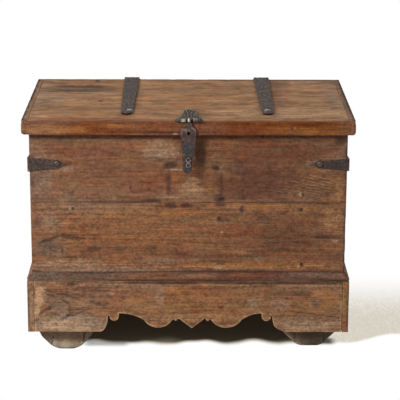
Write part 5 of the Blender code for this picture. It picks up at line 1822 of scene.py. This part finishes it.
def strap_loops():
    """Outline and hole of the hasp's hanging strap, which leans a little to the left."""
    top = STRAP_OUTLINE[0][0]
    right = [(half - STRAP_LEAN * (top - up), up) for up, half in STRAP_OUTLINE]
    left = [(-half - STRAP_LEAN * (top - up), up) for up, half in STRAP_OUTLINE]
    turns = [-2 * math.pi * step / HOLE_STEPS for step in range(HOLE_STEPS)]
    hole = [(HOLE_HALF[0] * math.cos(turn), HOLE_HEIGHT + HOLE_HALF[1] * math.sin(turn)) for turn in turns]
    return [left + right[::-1], hole]


def leaf_beads(leaf):
    """Skins of the beads that stand in rows across the hasp's leaf."""
    top = leaf.points[leaf.outward[:, 2] > 0.5]
    profile = [(out * BEAD_RADIUS, up * BEAD_TALL) for out, up in BEAD_SECTION] + [(0.0, BEAD_ROOT)]
    beads = []
    for row, y in enumerate(np.linspace(LEAF_FRONT, LAST_ROW, BEAD_ROWS)):
        near = top[np.abs(top[:, 1] - y) < ROW_REACH]
        left, right = near[:, 0].min(), near[:, 0].max()
        middle = (left + right) / 2
        half = (right - left) / 2 - BEAD_RADIUS - BEAD_MARGIN
        count = max(1, round(2 * half / BEAD_GAP)) - row % 2
        for x in np.linspace(middle - half, middle + half, count + 1):
            ground = top[np.argmin(np.hypot(top[:, 0] - x, top[:, 1] - y)), 2]
            bead = turned("leaf_bead", profile, (x, y, ground), TOP.out, BEAD_FACETS)
            # Painted highlight on each bead's top and painted shade round its foot
            bead.raise_layer("wear_and_painted_light", ramp(bead.outward[:, 2], 0.3, 0.7))
            bead.raise_layer("grime", 0.9 * (1.0 - ramp(bead.outward[:, 2], 0.0, 0.3)))
            beads.append(bead)
    return beads


class CHEST_OT_hasp(Operator):
    """Dress the hasp, its leaf on the lid, its barrel and its riveted staple"""

    bl_idname = "chest.hasp"
    bl_label = "Hasp"

    def execute(self, context):
        axis = joint_axis("hasp_hinge")
        black = iron("hasp", colours().iron, 0.25, 0.45, 0.50, flecks=0.15, grit=0.6)
        bright = iron("hasp_barrel", colours().bright, 0.35, 0.5, 0.46)
        white = iron("hasp_tongue", tone(118, 114, 110), 0.1, 0.3, 0.40, grit=0.5)

        # The leaf swells towards its back and is beaded all over
        leaf = plate("hasp_leaf", TOP, LEAF_THICK)
        along = ramp(leaf.points[:, 1], axis.y, LEAF_BACK)
        tail = ramp(leaf.points[:, 1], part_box("hasp_leaf")[1].y, LEAF_BACK)
        swell = along ** LEAF_BEND * np.sqrt(tail) * np.sqrt(ramp(leaf.rim, 0.0, LEAF_RISE))
        leaf.points[:, 2] += LEAF_CREST * swell * (leaf.outward[:, 2] > -0.5)
        leaf.points[:, 0] += HASP_SHIFT
        leaf.raise_layer("grime", 0.55 + 0.35 * leaf.noise((120, 40, 120), 9))
        # Painted shade in the gap at the leaf's front, beside the barrel
        mouth = (leaf.points[:, 1] < LEAF_FRONT) * (np.abs(leaf.points[:, 0]) < LEAF_MOUTH)
        leaf.raise_layer("grime", 1.0 * mouth)
        dark = iron("hasp_leaf", colours().iron, 0.3, 0.05, 0.6, 0.08)
        beaded = iron("hasp_beads", tone(86, 81, 74), 0.1, 0.5, 0.45)
        beads = leaf_beads(leaf)
        settle(joined("old_hasp_leaf", [leaf]), "lid", "iron", dark, "hasp_leaf")
        settle(joined("hasp_beads", beads), "lid", "iron", beaded)

        # The barrel is dark at its ends, and painted shade darkens the underside of its right part
        ends = []
        for side, (start, end) in BARREL_ENDS.items():
            skin = barrel("hasp_barrel_" + side, HASP_BARREL, start, end, axis.y, axis.z)
            below = np.clip(0.8 - 2.0 * skin.outward[:, 2], 0.0, 0.8)
            skin.raise_layer("grime", np.minimum(ramp(np.abs(skin.points[:, 0]), *BARREL_DARK), 0.95))
            skin.raise_layer("grime", 0.44 + 0.4 * skin.noise(160, 4))
            skin.raise_layer("grime", below * (skin.points[:, 0] > 0))
            skin.points[:, 0] += HASP_SHIFT
            ends.append(skin)
        settle(joined("hasp_barrel", ends), "lid", "bright_iron", bright)
        keep("hasp_pin", iron("hasp_pin", tone(22, 19, 18), 0.2, 0.0, 0.7, 0.05))

        # The strap hangs from a short tongue, with a painted highlight at its left end and darker towards its
        # right
        level = face_loops("hasp_strap", FRONT)[1]
        strap = slab("hasp_strap_plate", strap_loops(), HASP_THICK, sizes().iron_edge, HASP_STEP, FRONT,
                     level)
        strap.hammer()
        strap.paint(STRAP_MARKS, FRONT)
        tongue = barrel("hasp_tongue", HASP_BARREL, -TONGUE_HALF, TONGUE_HALF, axis.y, axis.z)
        tongue.layers["wear_and_painted_light"] = 1.0 * (tongue.points[:, 0] < TONGUE_HIGHLIGHT)
        tongue.raise_layer("grime", np.clip(0.5 + tongue.points[:, 0] / TONGUE_DARK, 0.0, 0.75))
        tongue.points[:, 0] += HASP_SHIFT
        settle(joined("old_hasp_strap", [strap]), "hasp", "iron", black, "hasp_strap")
        settle(joined("hasp_tongue", [tongue]), "hasp", "bright_iron", white)

        # The staple's two ends are riveted over
        keep("hasp_staple", black)
        low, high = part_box("hasp_staple")
        rings = []
        for name, shift in RIVET_SHIFTS.items():
            height = (low.z + high.z) / 2 + shift
            skin = turned(name + "_rivet_ring", RIVET_RING, (0.0, low.y, height), FRONT.out)
            from_middle = np.hypot(skin.points[:, 0], skin.points[:, 2] - height)
            crest = fade(from_middle - RIVET_CREST, RIVET_CREST_REACH)
            skin.raise_layer("wear_and_painted_light", crest * (0.9 + 0.5 * skin.noise(300, 3)))
            skin.raise_layer("grime", 0.8 * (1 - crest))
            rings.append(skin)
        settle(joined("hasp_rivets", rings), "hasp", "iron", iron("rivets", tone(88, 79, 76), 0.1, 0.4, 0.5))
        return {"FINISHED"}


# Nails and plugs in the front, as across and up
FRONT_PLUGS = ((-0.354, 0.463), (0.344, 0.509))
FRONT_NAILS = ((0.3425, 0.462), (0.346, 0.288), (0.222, 0.690))
FRONT_NAIL_SINK = 0.0006
FRONT_NAIL_TALL = 0.0012
FRONT_NAIL_FACETS = 14

# Section of a plug, as a share of its radius and how far it stands out
PLUG_SECTION = ((0.0, 0.0004), (0.6, 0.0008), (0.92, 0.0006), (1.0, -0.0004), (1.0, -0.003), (0.0, -0.003))
PLUG_SINK = 0.0004
PLUG_FACETS = 18
PLUG_ROUGH = 0.0006
PLUG_HEART = (0.1, -0.3, 0.3)

# The dark in a plug lies a little off its middle
PLUG_DARK = (0.002, 0.001)


class CHEST_OT_nails_and_plugs(Operator):
    """Set the nails and wooden plugs in the front"""

    bl_idname = "chest.nails_and_plugs"
    bl_label = "Nails and Plugs"

    def execute(self, context):
        heads = []
        for number, (x, z) in enumerate(FRONT_NAILS):
            place = (x, FRONT_FACE + FRONT_NAIL_SINK, z)
            heads.append(nail("front_nail_" + str(number), place, FRONT.out, sizes().nail_radius,
                              FRONT_NAIL_TALL, FRONT_NAIL_FACETS))
        rusty = iron("front_nails", tone(46, 34, 28), 0.5, 0.0, 0.7, 0.05)
        settle(joined("front_nails", heads), "chest", "iron", rusty)
        pegs = []
        radius = sizes().plug_radius
        profile = [(out * radius, up) for out, up in PLUG_SECTION]
        for number, (x, z) in enumerate(FRONT_PLUGS):
            place = (x, FRONT_FACE + PLUG_SINK, z)
            skin = turned("plug_" + str(number), profile, place, FRONT.out, PLUG_FACETS)
            skin.height += PLUG_ROUGH * skin.noise(220, 1)
            from_middle = np.hypot(skin.points[:, 0] - x - PLUG_DARK[0], skin.points[:, 2] - z - PLUG_DARK[1])
            skin.raise_layer("wear_and_painted_light", np.clip(0.2 - (skin.points[:, 0] - x) / (0.8 * radius), 0.0, 0.9))
            skin.raise_layer("grime", fade(from_middle, 0.55 * radius))
            pegs.append(skin)
        finish = wood("front_plugs", colours().olive, "y", PLUG_HEART)
        settle(joined("front_plugs", pegs), "chest", "body_wood", finish)
        return {"FINISHED"}


# Stage

CAMERA_PLACE = (0.002, -5.2544, 1.8872)
PITCH = math.radians(15.70)
YAW = math.radians(-0.382)
ROLL = math.radians(0.22)
SENSOR = 36.0
VIEW_END = 100.0
KEY_PLACE = (-2.15, -2.30, 2.3)
KEY_AIM = (0.0, 0.0, 0.35)
KEY_SIZE = 0.8
FLOOR_HALF = 14.0
# Under the chest and in two wedges beside the front wheels the floor's colour is darkened into a painted
# shadow, and the white there is tinted warm
UNDER_MIDDLE = (0.0, 0.06, 0.0)
UNDER_HALF = (0.385, 0.235, 0.0)
UNDER_FADE = 0.045
UNDER_DARK = (0.58, 0.55, 0.46)
UNDER_WAVE = 0.11
UNDER_GLOW = 0.003
UNDER_TINT = (1.0, 0.84, 0.68, 1.0)
WEDGES = (((-0.258, -0.205, 0.0), (0.050, 0.010, 0.0), 0.035, 0.60),
          ((0.432, -0.188, 0.0), (0.012, 0.012, 0.0), 0.032, 0.94))
# Right of the chest the white is mixed towards a warm, gritty painted shadow
SHADE_SIDE = (0.36, 0.46)
SHADE_FRONT = (-0.215, -0.185)
SHADE_BACK = (-0.02, 0.50)
SHADE_BEND = (0.50, 0.66)
SHADE_RISE = 0.08
SHADE_TINT = (0.70, 0.65, 0.55, 1.0)
SHADE_SHARE = 0.05


def camera_turn():
    """How the camera is turned: a little down, hardly to the side."""
    ahead = Vector((-math.sin(YAW), math.cos(YAW), 0.0))
    right = Vector((math.cos(YAW), math.sin(YAW), 0.0))
    forward = ahead * math.cos(PITCH) - Vector((0, 0, math.sin(PITCH)))
    up = ahead * math.sin(PITCH) + Vector((0, 0, math.cos(PITCH)))
    tilted_right = right * math.cos(ROLL) + up * math.sin(ROLL)
    tilted_up = up * math.cos(ROLL) - right * math.sin(ROLL)
    return Matrix((tilted_right, tilted_up, -forward)).transposed()


def seen_directly(place):
    """1 for what the camera, a reflection or a see-through surface shows."""
    paths = [place.node("ShaderNodeLightPath", None, None, name)
             for name in ("Is Camera Ray", "Is Glossy Ray", "Is Transmission Ray")]
    return (paths[0] + paths[1] + paths[2]).ramp(0.0, 1.0)


def off_patch(place, middle, half):
    """Distance on the floor from a rectangle."""
    from_middle = place.shifted([-v for v in middle])
    apart = from_middle.node("ShaderNodeVectorMath", {"operation": "ABSOLUTE"}, {0: from_middle})
    beyond = apart.shifted([-v for v in half])
    outside = beyond.node("ShaderNodeVectorMath", {"operation": "MAXIMUM"}, {0: beyond, 1: (0.0, 0.0, 0.0)})
    flat = outside.times((1.0, 1.0, 0.0))
    return flat.node("ShaderNodeVectorMath", {"operation": "LENGTH"}, {0: flat}, 1)


def floor_finish():
    """Pale floor that keeps the shadows round the chest, with painted shadows under and right of it, and is
    plain white far off.
    """
    material, shader, place = new_finish("floor")
    mottle = place.noise((0.05, 0.05, 0.05), 3, 5.0, 0.6)
    grit = place.noise((0.0055, 0.0180, 0.0100), 5, 3.0, 0.75)
    wave = (place.noise((0.13, 0.50, 0.50), 7, 1.0) - 0.5) * UNDER_WAVE
    bent = place.shifted(place.node("ShaderNodeCombineXYZ", None, {"Y": wave}))
    outside = off_patch(bent, UNDER_MIDDLE, UNDER_HALF).ramp(0.0, UNDER_FADE)
    paint = mottle.ramp(0.3, 0.7).mix(opaque(colours().floor, 0.96), opaque(colours().floor))
    away = outside
    for middle, half, reach, share in WEDGES:
        wedge = 1.0 - off_patch(place, middle, half).ramp(0.0, reach)
        away = away * (1.0 - wedge * share)
    feed(shader, "Base Color", away.mix(opaque(colours().floor, UNDER_DARK), paint))
    shader.inputs["Roughness"].default_value = 0.9
    shader.inputs["Specular IOR Level"].default_value = 0.0
    x, y = (place.node("ShaderNodeSeparateXYZ", None, {0: place}, axis) for axis in range(2))
    edge = y - x.ramp(*SHADE_BEND) * SHADE_RISE
    shade = x.ramp(*SHADE_SIDE) * edge.ramp(*SHADE_FRONT) * (1.0 - y.ramp(*SHADE_BACK))
    # Grit, the warm tints and the floor's darker colour make the painted shadows
    flecked = shade * (grit * 2.0)
    glow = flecked.mix(outside.mix(UNDER_TINT, (1.0, 1.0, 1.0, 1.0)), SHADE_TINT)
    white = place.node("ShaderNodeEmission", None, {"Color": glow, "Strength": 1.0})
    away = away * (1.0 - shade * SHADE_SHARE) * (1.0 - UNDER_GLOW) + UNDER_GLOW
    surface = Field(place.tree, shader.outputs["BSDF"])
    blend = place.node("ShaderNodeMixShader", None, {0: away * seen_directly(place), 1: surface, 2: white})
    out = place.tree.nodes["Material Output"]
    place.tree.links.new(blend.socket, out.inputs["Surface"])
    return material


class CHEST_OT_stage(Operator):
    """Set up the floor, the light and the camera"""

    bl_idname = "chest.stage"
    bl_label = "Stage"

    def execute(self, context):
        scene = context.scene
        look = scene.chest_stage
        corners = [(x, y, 0.0) for x, y in ((-1, -1), (1, -1), (1, 1), (-1, 1))]
        mesh = new_mesh("floor", np.array(corners) * FLOOR_HALF, [range(4)])
        mesh.materials.append(floor_finish())
        floor = bpy.data.objects.new("floor", mesh)
        scene.collection.objects.link(floor)

        lamp = bpy.data.lights.new("key", "AREA")
        lamp.energy = look.key
        lamp.size = KEY_SIZE
        key = bpy.data.objects.new("key", lamp)
        key.location = KEY_PLACE
        aim = Vector(KEY_AIM) - key.location
        key.rotation_euler = aim.to_track_quat("-Z", "Y").to_euler()
        scene.collection.objects.link(key)

        world = bpy.data.worlds.new("sky")
        world.use_nodes = True
        tree = world.node_tree
        start = Field(tree, tree.nodes.new("ShaderNodeTexCoord").outputs["Generated"])
        even = start.node("ShaderNodeBackground", None, {"Color": (1.0, 1.0, 1.0, 1.0), "Strength": look.sky})
        white = start.node("ShaderNodeBackground", None, {"Color": (1.0, 1.0, 1.0, 1.0), "Strength": 1.0})
        blend = start.node("ShaderNodeMixShader", None, {0: seen_directly(start), 1: even, 2: white})
        tree.links.new(blend.socket, tree.nodes["World Output"].inputs["Surface"])
        scene.world = world

        view = bpy.data.cameras.new("view")
        view.lens = look.lens
        view.sensor_width = SENSOR
        view.clip_end = VIEW_END
        camera = bpy.data.objects.new("view", view)
        camera.matrix_world = Matrix.Translation(CAMERA_PLACE) @ camera_turn().to_4x4()
        scene.collection.objects.link(camera)
        scene.camera = camera
        scene.view_settings.view_transform = "Standard"
        return {"FINISHED"}


class CHEST_PT_panel(Panel):
    """Lists the chest's pieces, sizes and colours"""

    bl_idname = "CHEST_PT_panel"
    bl_label = "Old Storage Chest"
    bl_space_type = "VIEW_3D"
    bl_region_type = "UI"
    bl_category = "Chest"

    def draw(self, context):
        for operator in OPERATORS:
            self.layout.operator(operator.bl_idname)
        for group in (context.scene.chest_sizes, context.scene.chest_colours, context.scene.chest_stage):
            for name in group.__annotations__:
                self.layout.prop(group, name)


OPERATORS = (CHEST_OT_front_wall, CHEST_OT_side_and_back_walls, CHEST_OT_bottom_and_cleats,
             CHEST_OT_front_apron, CHEST_OT_plinth_boards, CHEST_OT_mouldings, CHEST_OT_wheels,
             CHEST_OT_running_gear, CHEST_OT_lid_boards, CHEST_OT_lid_rim, CHEST_OT_hinges,
             CHEST_OT_corner_straps, CHEST_OT_hasp, CHEST_OT_nails_and_plugs, CHEST_OT_stage)
GROUPS = {"chest_colours": ChestColours, "chest_sizes": ChestSizes, "chest_stage": ChestStage}


def register():
    for name, group in GROUPS.items():
        bpy.utils.register_class(group)
        setattr(bpy.types.Scene, name, PointerProperty(type=group))
    for item in (*OPERATORS, CHEST_PT_panel):
        bpy.utils.register_class(item)


def unregister():
    for item in (CHEST_PT_panel, *reversed(OPERATORS)):
        bpy.utils.unregister_class(item)
    for name, group in GROUPS.items():
        delattr(bpy.types.Scene, name)
        bpy.utils.unregister_class(group)


def main():
    register()
    for operator in OPERATORS:
        group, name = operator.bl_idname.split(".")
        getattr(getattr(bpy.ops, group), name)()


if __name__ == "__main__":
    main()
